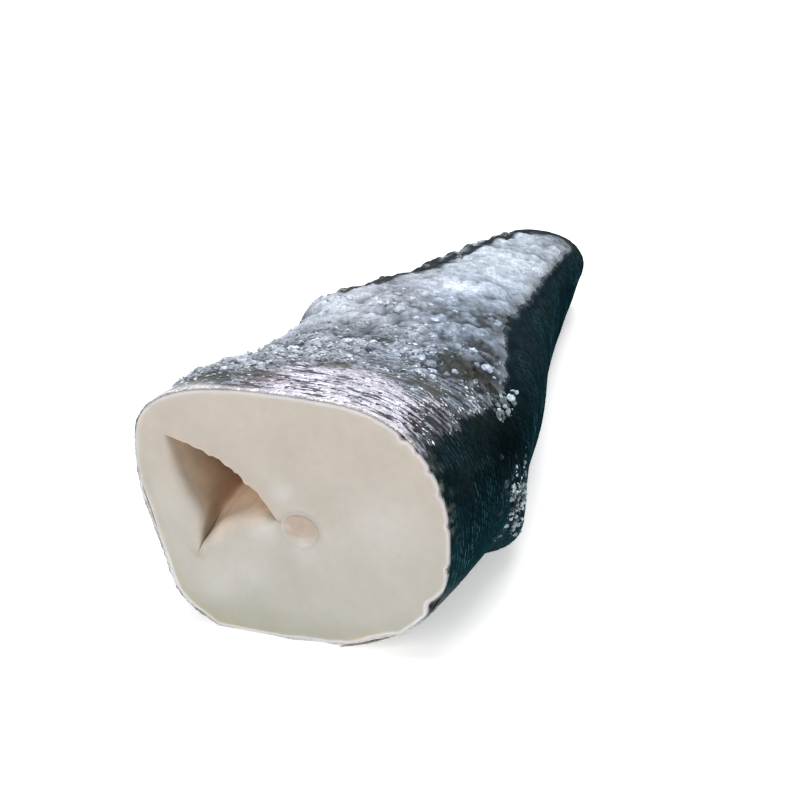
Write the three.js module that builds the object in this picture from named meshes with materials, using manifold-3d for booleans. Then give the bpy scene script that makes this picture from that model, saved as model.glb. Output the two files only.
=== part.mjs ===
// Tail piece of a frozen Patagonian toothfish, cut square across ahead of the vent and again at the tail.
// It lies on its left flank, with the belly cavity and the backbone showing at the cut.
// Millimetres, +Z up, +X towards the fish's back, +Y from the cut towards the tail.
import * as THREE from "three";
import { mergeVertices } from "three/addons/utils/BufferGeometryUtils.js";
import Module from "manifold-3d";

// Driving dimensions: the trunk from the cut to the tail. Each station gives its share of the length,
// the reach to the back and to the belly, and the thickness as it lies.
const LENGTH = 393;
const STATIONS = [
  { share: 0, back: 76, belly: 76, thick: 127 },
  { share: 0.1, back: 80, belly: 77.5, thick: 121 },
  { share: 0.25, back: 79, belly: 73, thick: 104 },
  { share: 0.45, back: 66, belly: 66, thick: 93 },
  { share: 0.65, back: 47, belly: 52, thick: 77 },
  { share: 0.85, back: 33, belly: 37, thick: 58 },
  { share: 1, back: 28.5, belly: 27, thick: 44 },
];

// The cut's outline: where its extremes sit and how full each quarter is. Further back it is an even oval.
const SETTLED_AT = 0.4; // share of the length
const CREST_SHIFT = 0.1; // highest point, towards the back, as a share of the depth
const FOOT_SHIFT = -0.13; // lowest point, towards the belly, as a share of the depth
const BACK_HEIGHT = 0.48; // share of the thickness
const BELLY_HEIGHT = 0.69; // share of the thickness
const EVEN_HEIGHT = 0.5; // share of the thickness, once settled
const FULLNESS = [2.35, 3, 2.05, 2.25]; // back to top, top to belly, belly to foot, foot to back
const EVEN_FULLNESS = 2.35;
const PRESSED_FLAT = 4; // how far the round flank would reach below the flat that it lies on

// A shallow dent where the belly flap sags inward at the cut
const DENT = { place: 2.35, width: 0.2, deep: 2.6, fade: 0.08 };

// Stubs of the trimmed second dorsal fin and anal fin, as low ridges. A place counts quarters from the back.
const FIN_STUBS = [
  { start: 0.235, end: 0.93, place: -0.4, high: 13, low: 2 },
  { start: 0.425, end: 0.68, place: 1.55, high: 8, low: 2 },
];
const STUB_BLUNTNESS = 0.032; // share of the length in which a stub rises
const STUB_FADE = 0.12; // share of the length in which it drops from high towards low
const STUB_RUN_OUT = 0.1; // share of the length in which its end runs out
const STUB_WIDTH = 0.22; // quarters

// Belly cavity: a three-cornered mouth, as (x, z) in the cut, that narrows to a tip behind it.
const CAVITY_SPINE = new THREE.Vector2(-7, 63);
const CAVITY_BELLY = new THREE.Vector2(-60, 96.5);
const CAVITY_FLANK = new THREE.Vector2(-45, 42);
const ROOF_BULGE = 5; // how far the middle of each edge stands off its chord, away from the mouth
const WALL_BULGE = -2.5;
const FLOOR_BULGE = -5.5;
const CAVITY_TIP = new THREE.Vector3(-30, 105, 69);
const CAVITY_TAPER = 1.25; // above 1, it stays wide at first
const TIP_SHARE = 0.06;

// Backbone
const BONE_RADIUS_CUT = 9;
const BONE_RADIUS_TAIL = 4.2;
const BONE_OFFSET = 4.5; // from the middle of the cut, towards the back
const BONE_HEIGHT = 0.47; // share of the thickness
const GAP = 0.3; // between the backbone and the flesh

// Lumps of ice frozen to the upper flank and to the front of the dorsal stub
const UPPER_ICE = { count: 64, from: 0.06, to: 0.96, round: 0.5, spread: 1.15, small: 1.8, large: 4.6 };
const STUB_ICE = { count: 10, from: 0.22, to: 0.33, round: -0.3, spread: 0.5, small: 1.6, large: 3 };
const ICE_SUNK = 0.35; // share of a lump's radius

// Mesh steps
const QUARTER_STEPS = 15;
const LENGTH_STEPS = 40;
const EDGE_STEPS = 9;
const CAVITY_STEPS = 12;
const BONE_SIDES = 18;
const BONE_STEPS = 20;
const PAST_END = 2; // how far a cutting solid reaches past the face that it cuts

const wasm = await Module();
wasm.setup();
const { lerp, smoothstep, euclideanModulo } = THREE.MathUtils;

// 0 at the cut, 1 where the outline has settled
function settled(share) {
  return smoothstep(share, 0, SETTLED_AT);
}

// A smooth curve along the body through one point for each station
function rail(pointAt) {
  const points = STATIONS.map((station) => {
    const [x, z] = pointAt(station, settled(station.share));
    return new THREE.Vector3(x, station.share * LENGTH, z);
  });
  return new THREE.CatmullRomCurve3(points, false, "catmullrom");
}

function shifted(station, shift) {
  return (station.back - station.belly) / 2 + shift * (station.back + station.belly);
}

const backRail = rail((s, k) => [s.back, s.thick * lerp(BACK_HEIGHT, EVEN_HEIGHT, k)]);
const crestRail = rail((s, k) => [shifted(s, lerp(CREST_SHIFT, 0, k)), s.thick]);
const bellyRail = rail((s, k) => [-s.belly, s.thick * lerp(BELLY_HEIGHT, EVEN_HEIGHT, k)]);
const footRail = rail((s, k) => [shifted(s, lerp(FOOT_SHIFT, 0, k)), -PRESSED_FLAT]);
const boneRail = rail((s, k) => [shifted(s, 0) + lerp(BONE_OFFSET, 0, k), s.thick * BONE_HEIGHT]);

// 1 at a place round the section, falling to 0 on both sides of it
function hump(round, place, width) {
  const away = euclideanModulo(round - place + 2, 4) - 2;
  return Math.exp(-((away / width) ** 2));
}

// Height of the fin stubs, less the dent, at a share of the length and round quarters from the back
function relief(share, round) {
  let height = -DENT.deep * Math.exp(-share / DENT.fade) * hump(round, DENT.place, DENT.width);
  for (const stub of FIN_STUBS) {
    const rise = smoothstep(share, stub.start - STUB_BLUNTNESS, stub.start + STUB_BLUNTNESS);
    const runOut = 1 - smoothstep(share, stub.end - STUB_RUN_OUT, stub.end);
    const fade = Math.exp(-Math.max(share - stub.start, 0) / STUB_FADE);
    height += lerp(stub.low, stub.high, fade) * rise * runOut * hump(round, stub.place, STUB_WIDTH);
  }
  return height;
}

// The point in the middle of the section at u
function middle(u) {
  const crest = crestRail.getPoint(u);
  return new THREE.Vector3(crest.x, crest.y, crest.z / 2);
}

// A point of the skin: u along the body from 0 to 1, round in quarters: 0 back, 1 top, 2 belly, 3 foot.
// A quarter is a superellipse arc that leaves its side upright and meets the crest or the foot level.
function skinPoint(u, round) {
  const quarter = Math.floor(euclideanModulo(round, 4));
  const within = euclideanModulo(round, 1);
  const side = (quarter === 0 || quarter === 3 ? backRail : bellyRail).getPoint(u);
  const end = (quarter < 2 ? crestRail : footRail).getPoint(u);
  const share = side.y / LENGTH;
  const power = 2 / lerp(FULLNESS[quarter], EVEN_FULLNESS, settled(share));
  const angle = ((quarter % 2 ? 1 - within : within) * Math.PI) / 2;
  const point = new THREE.Vector3(
    lerp(end.x, side.x, Math.max(Math.cos(angle), 0) ** power),
    side.y,
    lerp(side.z, end.z, Math.max(Math.sin(angle), 0) ** power),
  );
  const outward = point.clone().sub(middle(u)).setY(0).normalize();
  point.addScaledVector(outward, relief(share, round));
  point.z = Math.max(point.z, 0);
  return point;
}

// A closed surface through rings of equal count, counter-clockwise seen from the cut, capped at both ends
function loft(rings) {
  const count = rings[0].length;
  const faces = [];
  const cap = THREE.ShapeUtils.triangulateShape(rings[0].map((p) => new THREE.Vector2(p.x, p.z)), []);
  const last = (rings.length - 1) * count;
  for (const [a, b, c] of cap) {
    faces.push(a, b, c);
    faces.push(last + c, last + b, last + a);
  }
  for (let ring = 0; ring < rings.length - 1; ring++) {
    for (let i = 0; i < count; i++) {
      const a = ring * count + i;
      const b = ring * count + ((i + 1) % count);
      faces.push(a, a + count, b);
      faces.push(b, a + count, b + count);
    }
  }
  return new THREE.BufferGeometry().setFromPoints(rings.flat()).setIndex(faces);
}

function solidOf(geometry) {
  const bare = geometry.clone();
  bare.deleteAttribute("normal");
  bare.deleteAttribute("uv");
  const merged = mergeVertices(bare, 1e-4);
  const vertProperties = merged.attributes.position.array;
  const triVerts = new Uint32Array(merged.index.array);
  return new wasm.Manifold(new wasm.Mesh({ numProp: 3, vertProperties, triVerts }));
}

function geometryOf(solid) {
  const mesh = solid.getMesh();
  const geometry = new THREE.BufferGeometry();
  geometry.setAttribute("position", new THREE.BufferAttribute(mesh.vertProperties, mesh.numProp));
  geometry.setIndex(new THREE.BufferAttribute(mesh.triVerts, 1));
  geometry.computeVertexNormals();
  return geometry;
}

function steps(count) {
  return Array.from({ length: count + 1 }, (_, i) => i / count);
}

function trunkSolid() {
  const rounds = Array.from({ length: 4 * QUARTER_STEPS }, (_, i) => i / QUARTER_STEPS);
  return solidOf(loft(steps(LENGTH_STEPS).map((u) => rounds.map((round) => skinPoint(u, round)))));
}

// The control point that bows a chord by bulge, to the right of the way from one corner to the next
function bowed(from, to, bulge) {
  const chord = to.clone().sub(from);
  const aside = new THREE.Vector2(chord.y, -chord.x).normalize();
  return from.clone().add(to).multiplyScalar(0.5).addScaledVector(aside, 2 * bulge);
}

function cavityMouth() {
  const corners = [CAVITY_SPINE, CAVITY_BELLY, CAVITY_FLANK];
  const bulges = [ROOF_BULGE, WALL_BULGE, FLOOR_BULGE];
  return corners.flatMap((from, i) => {
    const to = corners[(i + 1) % corners.length];
    const edge = new THREE.QuadraticBezierCurve(from, bowed(from, to, bulges[i]), to);
    return edge.getPoints(EDGE_STEPS).slice(0, -1);
  });
}

function cavitySolid() {
  const mouth = cavityMouth();
  const tip = new THREE.Vector2(CAVITY_TIP.x, CAVITY_TIP.z);
  const ringAt = (y, scale) =>
    mouth.map((corner) => {
      const p = tip.clone().lerp(corner, scale);
      return new THREE.Vector3(p.x, y, p.y);
    });
  const inside = steps(CAVITY_STEPS).map((t) => {
    return ringAt(t * CAVITY_TIP.y, 1 - (1 - TIP_SHARE) * t ** CAVITY_TAPER);
  });
  return solidOf(loft([ringAt(-PAST_END, 1), ...inside]));
}

// The backbone, or the bore that it lies in where it is widened by gap and lengthened past both ends
function boneGeometry(gap, past) {
  const rings = steps(BONE_STEPS).map((u) => {
    const centre = boneRail.getPoint(u);
    const radius = lerp(BONE_RADIUS_CUT, BONE_RADIUS_TAIL, u) + gap;
    centre.y += lerp(-past, past, u);
    return Array.from({ length: BONE_SIDES }, (_, i) => {
      const angle = (2 * Math.PI * i) / BONE_SIDES;
      return centre.clone().add(new THREE.Vector3(radius * Math.cos(angle), 0, radius * Math.sin(angle)));
    });
  });
  return loft(rings);
}

// Ice lumps spread by an even two-way sequence, most of them small
function iceLumps({ count, from, to, round, spread, small, large }) {
  return Array.from({ length: count }, (_, i) => {
    const along = lerp(from, to, euclideanModulo((i + 1) * 0.7548777, 1));
    const about = round + spread * euclideanModulo((i + 1) * 0.5698403, 1);
    const radius = lerp(small, large, euclideanModulo((i + 1) * 0.6180340, 1) ** 2);
    const point = skinPoint(along, about);
    const inward = middle(along).sub(point).normalize();
    const lump = new THREE.IcosahedronGeometry(radius, 0);
    lump.rotateX(i).rotateZ(2 * i);
    lump.translate(...point.addScaledVector(inward, ICE_SUNK * radius));
    return solidOf(lump);
  });
}

function trunkGeometry() {
  const lumps = [...iceLumps(UPPER_ICE), ...iceLumps(STUB_ICE)];
  const iced = lumps.reduce((body, lump) => body.add(lump), trunkSolid());
  return geometryOf(iced.subtract(cavitySolid()).subtract(solidOf(boneGeometry(GAP, PAST_END))));
}

const skin = new THREE.MeshStandardMaterial({ color: 0x55606a, roughness: 0.4, metalness: 0 });
const bone = new THREE.MeshStandardMaterial({ color: 0xd8c9b8, roughness: 0.6, metalness: 0 });

const trunk = new THREE.Mesh(trunkGeometry(), skin);
trunk.name = "trunk";
const backbone = new THREE.Mesh(boneGeometry(0, 0), bone);
backbone.name = "backbone";

// The origin is under the middle of the piece, on the flat that it lies on.
const fish = new THREE.Group();
fish.add(trunk, backbone);
const box = new THREE.Box3().setFromObject(fish);
const centre = box.getCenter(new THREE.Vector3());
fish.position.set(-centre.x, -centre.y, -box.min.z);

const part = new THREE.Group();
part.add(fish);
export default part;
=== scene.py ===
"""Looks of a frozen toothfish tail piece: flesh, skin, scales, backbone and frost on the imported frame."""
import math

import bpy
import numpy as np
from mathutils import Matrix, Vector
from mathutils.geometry import delaunay_2d_cdt


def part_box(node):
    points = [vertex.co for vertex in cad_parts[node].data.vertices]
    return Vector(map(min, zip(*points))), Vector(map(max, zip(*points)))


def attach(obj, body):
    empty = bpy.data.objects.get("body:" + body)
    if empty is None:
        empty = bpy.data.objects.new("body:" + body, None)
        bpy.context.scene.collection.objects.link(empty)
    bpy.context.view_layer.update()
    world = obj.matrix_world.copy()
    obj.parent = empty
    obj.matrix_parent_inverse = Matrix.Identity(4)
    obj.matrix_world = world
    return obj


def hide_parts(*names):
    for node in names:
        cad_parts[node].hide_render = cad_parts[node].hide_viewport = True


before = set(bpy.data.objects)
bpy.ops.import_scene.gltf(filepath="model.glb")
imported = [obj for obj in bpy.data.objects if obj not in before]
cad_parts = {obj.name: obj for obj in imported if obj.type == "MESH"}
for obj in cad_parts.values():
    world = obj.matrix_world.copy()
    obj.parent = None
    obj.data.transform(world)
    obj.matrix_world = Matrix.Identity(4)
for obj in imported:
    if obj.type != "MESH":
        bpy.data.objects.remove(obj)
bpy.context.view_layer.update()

trunk_low, trunk_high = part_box("trunk")

# Sizes are in millimetres, in the source's coordinates: the cut at y 0, the floor at z 0.
# A place on the body is a share of its length and a turn in quarters: 0 back, 1 crest, 2 belly, 3 foot.
MM = 0.001
LENGTH = 393.0

# The body, as in the source: share of the length, reach to the back, reach to the belly, thickness
STATIONS = (
    (0.00, 76.0, 76.0, 127.0),
    (0.10, 80.0, 77.5, 121.0),
    (0.25, 79.0, 73.0, 104.0),
    (0.45, 66.0, 66.0, 93.0),
    (0.65, 47.0, 52.0, 77.0),
    (0.85, 33.0, 37.0, 58.0),
    (1.00, 28.5, 27.0, 44.0),
)
SETTLED_AT = 0.4  # share from which the section is even
CREST_SHIFT, FOOT_SHIFT = 0.1, -0.13
BACK_HEIGHT, BELLY_HEIGHT, EVEN_HEIGHT = 0.48, 0.69, 0.5
FULLNESS = np.array((2.35, 3.0, 2.05, 2.25))
EVEN_FULLNESS = 2.35
PRESSED_FLAT = 4.0
DENT = {"place": 2.35, "width": 0.2, "deep": 2.6, "fade": 0.08}
FIN_STUBS = (
    {"start": 0.235, "end": 0.93, "place": -0.4, "high": 13.0, "low": 2.0},
    {"start": 0.425, "end": 0.68, "place": 1.55, "high": 8.0, "low": 2.0},
)
STUB_BLUNTNESS, STUB_FADE, STUB_RUN_OUT, STUB_WIDTH = 0.032, 0.12, 0.1, 0.22

# Shallow hollows, and a swell where deep is negative, that only this script has
DIPS = (
    {"share": 0.055, "long": 0.04, "place": 1.65, "width": 0.28, "deep": 2.8},
    {"share": 0.37, "long": 0.08, "place": -0.2, "width": 0.2, "deep": 3.2},
    {"share": 1.0, "long": 0.05, "place": -0.26, "width": 0.23, "deep": 5.0},
    {"share": 0.0, "long": 0.15, "place": 2.57, "width": 0.13, "deep": -2.8},
)

# The belly cavity, as in the source: corners of its mouth, how far the edges bulge, and its tip
CAVITY_SPINE = np.array((-7.0, 63.0))
CAVITY_BELLY = np.array((-60.0, 96.5))
CAVITY_FLANK = np.array((-45.0, 42.0))
ROOF_BULGE, WALL_BULGE, FLOOR_BULGE = 5.0, -2.5, -5.5
CAVITY_TIP = np.array((-30.0, 69.0))
CAVITY_DEPTH, CAVITY_TAPER, TIP_SHARE = 105.0, 1.25, 0.06
SLIT_END = np.array((-46.9, 36.6))

# The cavity's mouth, where it departs from the source, and how round its lip is
EDGE_POINTS = 60  # along each of its three edges
ROOF_RAISED = 1.5  # the roof's edge stands a little higher
MOUTH_SWING = 3.0  # the wall's edge: outwards near the belly corner, inwards near the slit
SLIT_CLOSED = 2.2  # the floor's edge beside the slit
ROOF_JAG, OTHER_JAG = 1.3, 0.3
ROOF_LIP, WALL_LIP, FLOOR_LIP, LEAST_LIP = 0.9, 6.0, 11.0, 0.7

# The backbone: radius at each cut, place in the section, gap in the flesh, and how far its faces lap over it
BONE_CUT, BONE_TAIL = 9.0, 4.2
BONE_OFFSET, BONE_HEIGHT = 4.5, 0.47
BONE_GAP = 0.3
BONE_LAP = 0.55
BONE_POINTS = 96
VERTEBRA = 14.0  # length

# The source's lumps of ice
UPPER_ICE = {"count": 64, "from": 0.06, "to": 0.96, "round": 0.5, "spread": 1.15, "small": 1.8, "large": 4.6}
STUB_ICE = {"count": 10, "from": 0.22, "to": 0.33, "round": -0.3, "spread": 0.5, "small": 1.6, "large": 3.0}
ICE_STEPS = (0.7548777, 0.5698403, 0.6180340)  # multiples of these, less their whole part, never bunch
ICE_SUNK = 0.35

SKIN_THICK = 1.3  # skin shell, under the source's surface
FLESH_UNDER = 0.9  # flesh, under the source's surface
CRUST_HIGH = 3.4  # lumps of frost on the upper flank
CRUST_SUNK = 1.1  # skin between them, under the source's surface

# Edges of the frost on the upper flank, as pairs of share and turn
FROST_BACK_LINE = ((0.0, 0.47), (0.12, 0.48), (0.2, 0.45), (0.29, 0.41), (0.36, 0.46), (0.42, 0.55),
                   (0.5, 0.57), (0.58, 0.53), (0.66, 0.47), (1.0, 0.45))
FROST_BELLY_LINE = ((0.02, 1.86), (0.12, 1.46), (0.4, 1.55), (0.46, 1.44), (0.54, 1.27), (0.6, 1.14),
                    (0.68, 1.05), (0.85, 1.05), (1.0, 0.95))
FROST_EDGE = 0.44  # turn near which the frost begins

# Where the lumps begin behind the cut, as pairs of turn and share
CRUST_FRONT_LINE = ((0.6, 0.19), (0.85, 0.13), (0.98, 0.11), (1.2, 0.03))


# Arithmetic on arrays
def smooth(x, low, high):
    """0 up to low, 1 from high, and a smooth step between them"""
    t = np.clip((np.asarray(x, float) - low) / (high - low), 0, 1)
    return t * t * (3 - 2 * t)


def band(x, rise_from, rise_to, fall_from, fall_to):
    """1 between a smooth step up and a smooth step down, 0 outside them"""
    return smooth(x, rise_from, rise_to) * (1 - smooth(x, fall_from, fall_to))


def bell(x, width):
    """1 at 0, and nearly 0 two widths away"""
    return np.exp(-((x / width) ** 2))


def mix(a, b, share):
    share = np.asarray(share, float)
    return np.asarray(a) * (1 - share) + np.asarray(b) * share


def paint(tint, colour, amount):
    """A tint for each point, changed towards a colour by an amount for each point"""
    return mix(tint, colour, np.asarray(amount)[..., None])


def drawn(x, line):
    """Height at x of a line given as pairs"""
    return np.interp(x, *zip(*line))


def unit(vectors):
    return vectors / np.maximum(np.linalg.norm(vectors, axis=-1, keepdims=True), 1e-9)


def wrapped(turn):
    """A difference of turns, from -2 to 2 quarters"""
    return (np.asarray(turn, float) + 2) % 4 - 2


NOISE_CELLS, SPOT_CELLS = 32, 16  # cells after which a pattern repeats


def noise(points, size, seed):
    """Smooth noise from -1 to 1 with cells of a given size"""
    table = np.random.default_rng(seed).uniform(-1, 1, (NOISE_CELLS,) * 3)
    q = np.asarray(points, float) / size
    cell = np.floor(q).astype(int)
    f = q - cell
    f = f * f * (3 - 2 * f)
    total = 0
    for corner in np.ndindex(2, 2, 2):
        weight = np.prod([f[..., k] if corner[k] else 1 - f[..., k] for k in range(3)], axis=0)
        i, j, k = ((cell[..., axis] + corner[axis]) % NOISE_CELLS for axis in range(3))
        total = total + weight * table[i, j, k]
    return total


def cells(points, size, seed):
    """Distance to the nearest of scattered spots, in shares of a cell, and that spot's value from 0 to 1"""
    rng = np.random.default_rng(seed)
    spots = rng.uniform(0.1, 0.9, (*(SPOT_CELLS,) * 3, 3))
    values = rng.uniform(0, 1, (SPOT_CELLS,) * 3)
    q = np.asarray(points, float) / size
    home = np.floor(q).astype(int)
    first, second = np.full(q.shape[:-1], 9.0), np.full(q.shape[:-1], 9.0)
    own, other = np.zeros(q.shape[:-1]), np.zeros(q.shape[:-1])
    for step in np.ndindex(3, 3, 3):
        cell = home + np.array(step) - 1
        i, j, k = (cell[..., axis] % SPOT_CELLS for axis in range(3))
        gap, value = np.linalg.norm(q - cell - spots[i, j, k], axis=-1), values[i, j, k]
        is_first, is_second = gap < first, (gap >= first) & (gap < second)
        second = np.where(is_first, first, np.where(is_second, gap, second))
        other = np.where(is_first, own, np.where(is_second, value, other))
        first, own = np.where(is_first, gap, first), np.where(is_first, value, own)
    return first, mix((own + other) / 2, own, smooth(second - first, 0, 0.22))


# The body's rails, as in the source: one line along, and places across it
ALONG, BACK_X, BACK_Z, CREST_X, CREST_Z, BELLY_X, BELLY_Z, FOOT_X, FOOT_Z, BONE_X, BONE_Z = range(11)


def rails():
    rows = []
    for share, back, belly, thick in STATIONS:
        settled = float(smooth(share, 0, SETTLED_AT))
        middle, depth = (back - belly) / 2, back + belly
        rows.append((
            share * LENGTH,
            back, thick * mix(BACK_HEIGHT, EVEN_HEIGHT, settled),
            middle + depth * CREST_SHIFT * (1 - settled), thick,
            -belly, thick * mix(BELLY_HEIGHT, EVEN_HEIGHT, settled),
            middle + depth * FOOT_SHIFT * (1 - settled), -PRESSED_FLAT,
            middle + BONE_OFFSET * (1 - settled), thick * BONE_HEIGHT,
        ))
    return np.array(rows, float)


RAILS = rails()


def spline(values, u):
    n = len(values) - 1
    padded = np.vstack([2 * values[0] - values[1], values, 2 * values[-1] - values[-2]])
    place = np.clip(np.asarray(u, float) * n, 0, n)
    i = np.minimum(place.astype(int), n - 1)
    f = (place - i)[..., None]
    a, b, c, d = (padded[i + k] for k in range(4))
    return 0.5 * (2 * b + (c - a) * f + (2 * a - 5 * b + 4 * c - d) * f**2 + (3 * b - 3 * c + d - a) * f**3)


U_FINE = np.linspace(0, 1, 4001)
SHARE_FINE = spline(RAILS, U_FINE)[:, ALONG] / LENGTH


def rails_at(share):
    return spline(RAILS, np.interp(share, SHARE_FINE, U_FINE))


def relief(share, turn):
    """Height of the dent, the dips and the stubs of the fins"""
    dent = bell(wrapped(turn - DENT["place"]), DENT["width"])
    height = -DENT["deep"] * np.exp(-share / DENT["fade"]) * dent
    for dip in DIPS:
        along, aside = (share - dip["share"]) / dip["long"], wrapped(turn - dip["place"]) / dip["width"]
        height = height - dip["deep"] * np.exp(-(along**2) - aside**2)
    for stub in FIN_STUBS:
        rise = smooth(share, stub["start"] - STUB_BLUNTNESS, stub["start"] + STUB_BLUNTNESS)
        run_out = 1 - smooth(share, stub["end"] - STUB_RUN_OUT, stub["end"])
        fade = np.exp(-np.maximum(share - stub["start"], 0) / STUB_FADE)
        hump = bell(wrapped(turn - stub["place"]), STUB_WIDTH)
        height = height + mix(stub["low"], stub["high"], fade) * rise * run_out * hump
    return height


def surface(share, turn):
    """Points of the body's surface"""
    share, turn = np.broadcast_arrays(np.asarray(share, float), np.asarray(turn, float))
    r = rails_at(share)
    quarter = np.floor(turn % 4).astype(int) % 4
    within = turn % 1
    on_back = (quarter == 0) | (quarter == 3)
    on_top = quarter < 2
    side_x = np.where(on_back, r[..., BACK_X], r[..., BELLY_X])
    side_z = np.where(on_back, r[..., BACK_Z], r[..., BELLY_Z])
    end_x = np.where(on_top, r[..., CREST_X], r[..., FOOT_X])
    end_z = np.where(on_top, r[..., CREST_Z], r[..., FOOT_Z])
    power = 2 / mix(FULLNESS[quarter], EVEN_FULLNESS, smooth(share, 0, SETTLED_AT))
    angle = np.where(quarter % 2 == 1, 1 - within, within) * math.pi / 2
    x = end_x + (side_x - end_x) * np.maximum(np.cos(angle), 0) ** power
    z = side_z + (end_z - side_z) * np.maximum(np.sin(angle), 0) ** power
    out = unit(np.stack([x - r[..., CREST_X], z - r[..., CREST_Z] / 2], -1))
    height = relief(share, turn)
    x = x + out[..., 0] * height
    z = np.maximum(z + out[..., 1] * height, 0)
    return np.stack([x, r[..., ALONG], z], -1)


SMALL_STEP = 2e-3


def step_along(share, turn):
    return surface(share + SMALL_STEP, turn) - surface(share - SMALL_STEP, turn)


def normal_at(share, turn):
    about = surface(share, turn + SMALL_STEP) - surface(share, turn - SMALL_STEP)
    return unit(np.cross(step_along(share, turn), about))


def lifted(share, turn, lift):
    """Points of the surface, moved out by a lift"""
    return surface(share, turn) + normal_at(share, turn) * np.asarray(lift, float)[..., None]


def unrolled(share, turn):
    """Points of the surface unrolled flat, for noise that runs round it"""
    quarter_round = 60
    return np.stack([turn * quarter_round, share * LENGTH, np.zeros_like(turn)], -1)


RING_TURNS = np.linspace(0, 4, 1601)


def ring_arcs(share):
    """Arc length round the section at a share, at each of RING_TURNS"""
    p = surface(np.full(len(RING_TURNS), share), RING_TURNS)
    return np.concatenate([[0], np.cumsum(np.linalg.norm(np.diff(p, axis=0), axis=1))])


def even_turns(share, count):
    """Turns that are evenly spaced round the section at a share"""
    arcs = ring_arcs(share)
    return np.interp(np.arange(count) / count * arcs[-1], arcs, RING_TURNS)


# Lumps of frost on the upper flank
def lumps(points, size, seed, reach, power, low, high):
    """Height and tone of rounded lumps in cells of a size; cells with a tone under low have none"""
    gap, tone = cells(points, size, seed)
    return np.maximum(1 - (gap / reach) ** 2, 0) ** power * smooth(tone, low, high), tone


def shaken(points, amount, size, seeds):
    """Points moved about by noise, so that lumps aren't round"""
    return points + amount * np.stack([noise(points, size, seed) for seed in seeds], -1)


def crust_strength(share, turn):
    """1 where the lumps stand at their full height, 0 off the upper flank and just behind the cut"""
    side = wrapped(turn)
    edge = drawn(share, FROST_BACK_LINE)
    upper = np.where(side < -1.5, 0, band(side, edge, edge + 0.1, 1.55, 1.85))
    front = drawn(side, CRUST_FRONT_LINE)
    return upper * smooth(share, front, front + 0.07) * (1 - smooth(share, 0.96, 0.998))


def crust(share, turn):
    """Height of the lumps from 0 to about 1, and their tone from 0 to 1: coarser at the crest and the tail"""
    p = surface(share, turn)
    moved = shaken(p, 2.0, 7.0, (75, 76, 77))
    big, big_tone = lumps(moved, 15.0, 86, 0.78, 0.9, 0.1, 0.5)
    small, small_tone = lumps(moved, 7.5, 87, 0.74, 0.9, 0.25, 0.65)
    fine, fine_tone = lumps(shaken(p, 0.8, 2.5, (65, 66, 67)), 4.0, 88, 0.7, 1.0, 0.3, 0.7)
    near_crest = smooth(wrapped(turn), 0.95, 1.2) * smooth(share, 0.2, 0.32)
    coarse = np.clip(near_crest + smooth(share, 0.42, 0.58), 0, 1)
    height = mix(0.22, 0.75, coarse) * big + mix(0.6, 0.35, coarse) * small + mix(0.36, 0.2, coarse) * fine
    fine_tones = 0.25 * big_tone + 0.45 * small_tone + 0.3 * fine_tone
    coarse_tones = 0.6 * big_tone + 0.25 * small_tone + 0.15 * fine_tone
    return height, mix(fine_tones, coarse_tones, coarse)


def crusted(share, turn, lift):
    """Like lifted, with the frost's lumps"""
    lump = (CRUST_HIGH * crust(share, turn)[0] - CRUST_SUNK) * crust_strength(share, turn)
    return lifted(share, turn, np.asarray(lift, float) + lump)


# The row's origin, in the source's coordinates, from the frame's own box
whole = surface(np.linspace(0, 1, 400)[:, None], RING_TURNS[None, ::4])
SHIFT = np.array((
    (trunk_low.x + trunk_high.x) / 2 / MM - (whole[..., 0].min() + whole[..., 0].max()) / 2,
    trunk_low.y / MM,
    0.0,
))


def piece(name, points, faces, looks, smooth_angle, tints, values=None, uses_second=None):
    """A painted mesh in the row frame, from points in millimetres, that rides on the part's one body"""
    mesh = bpy.data.meshes.new(name)
    mesh.from_pydata(((np.asarray(points) + SHIFT) * MM).tolist(), [], [list(f) for f in faces])
    for look in looks:
        mesh.materials.append(look)
    if uses_second is not None:
        mesh.polygons.foreach_set("material_index", np.asarray(uses_second, np.int32))
    for key, tint in tints.items():
        rgba = np.concatenate([np.clip(tint, 0, 1), np.ones((len(tint), 1))], 1)
        painted = mesh.attributes.new(key, "FLOAT_COLOR", "POINT")
        painted.data.foreach_set("color", rgba.astype(np.float32).ravel())
    for key, value in (values or {}).items():
        painted = mesh.attributes.new(key, "FLOAT", "POINT")
        painted.data.foreach_set("value", np.asarray(value, np.float32).ravel())
    if smooth_angle:
        mesh.polygons.foreach_set("use_smooth", np.ones(len(mesh.polygons), bool))
        mesh.set_sharp_from_angle(angle=math.radians(smooth_angle))
    mesh.update()
    obj = bpy.data.objects.new(name, mesh)
    bpy.context.scene.collection.objects.link(obj)
    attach(obj, "root")
    return obj


# Materials
MIX_FIRST, MIX_SECOND, MIX_RESULT = 6, 7, 2  # a mix node's sockets for colours
NOISE_RANGE = (0.3, 0.7)  # where most values of a noise node lie


def new_material(name):
    material = bpy.data.materials.new(name)
    material.use_nodes = True
    tree = material.node_tree
    return material, tree, tree.nodes["Principled BSDF"]


def add(tree, kind, sockets=None, **settings):
    """A shader node with its settings and the values of its sockets"""
    node = tree.nodes.new(kind)
    for key, value in settings.items():
        setattr(node, key, value)
    for key, value in (sockets or {}).items():
        node.inputs[key].default_value = value
    return node


def painted_value(tree, name, output):
    return add(tree, "ShaderNodeAttribute", attribute_name=name).outputs[output]


def noise_value(tree, sockets, stretch=None):
    """Value of a noise node, with a scale along each axis if stretch gives them"""
    place = add(tree, "ShaderNodeTexCoord").outputs["Object"]
    if stretch:
        mapping = add(tree, "ShaderNodeMapping", {"Scale": stretch})
        tree.links.new(place, mapping.inputs["Vector"])
        place = mapping.outputs["Vector"]
    grain = add(tree, "ShaderNodeTexNoise", sockets)
    tree.links.new(place, grain.inputs["Vector"])
    return grain.outputs["Fac"]


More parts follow.
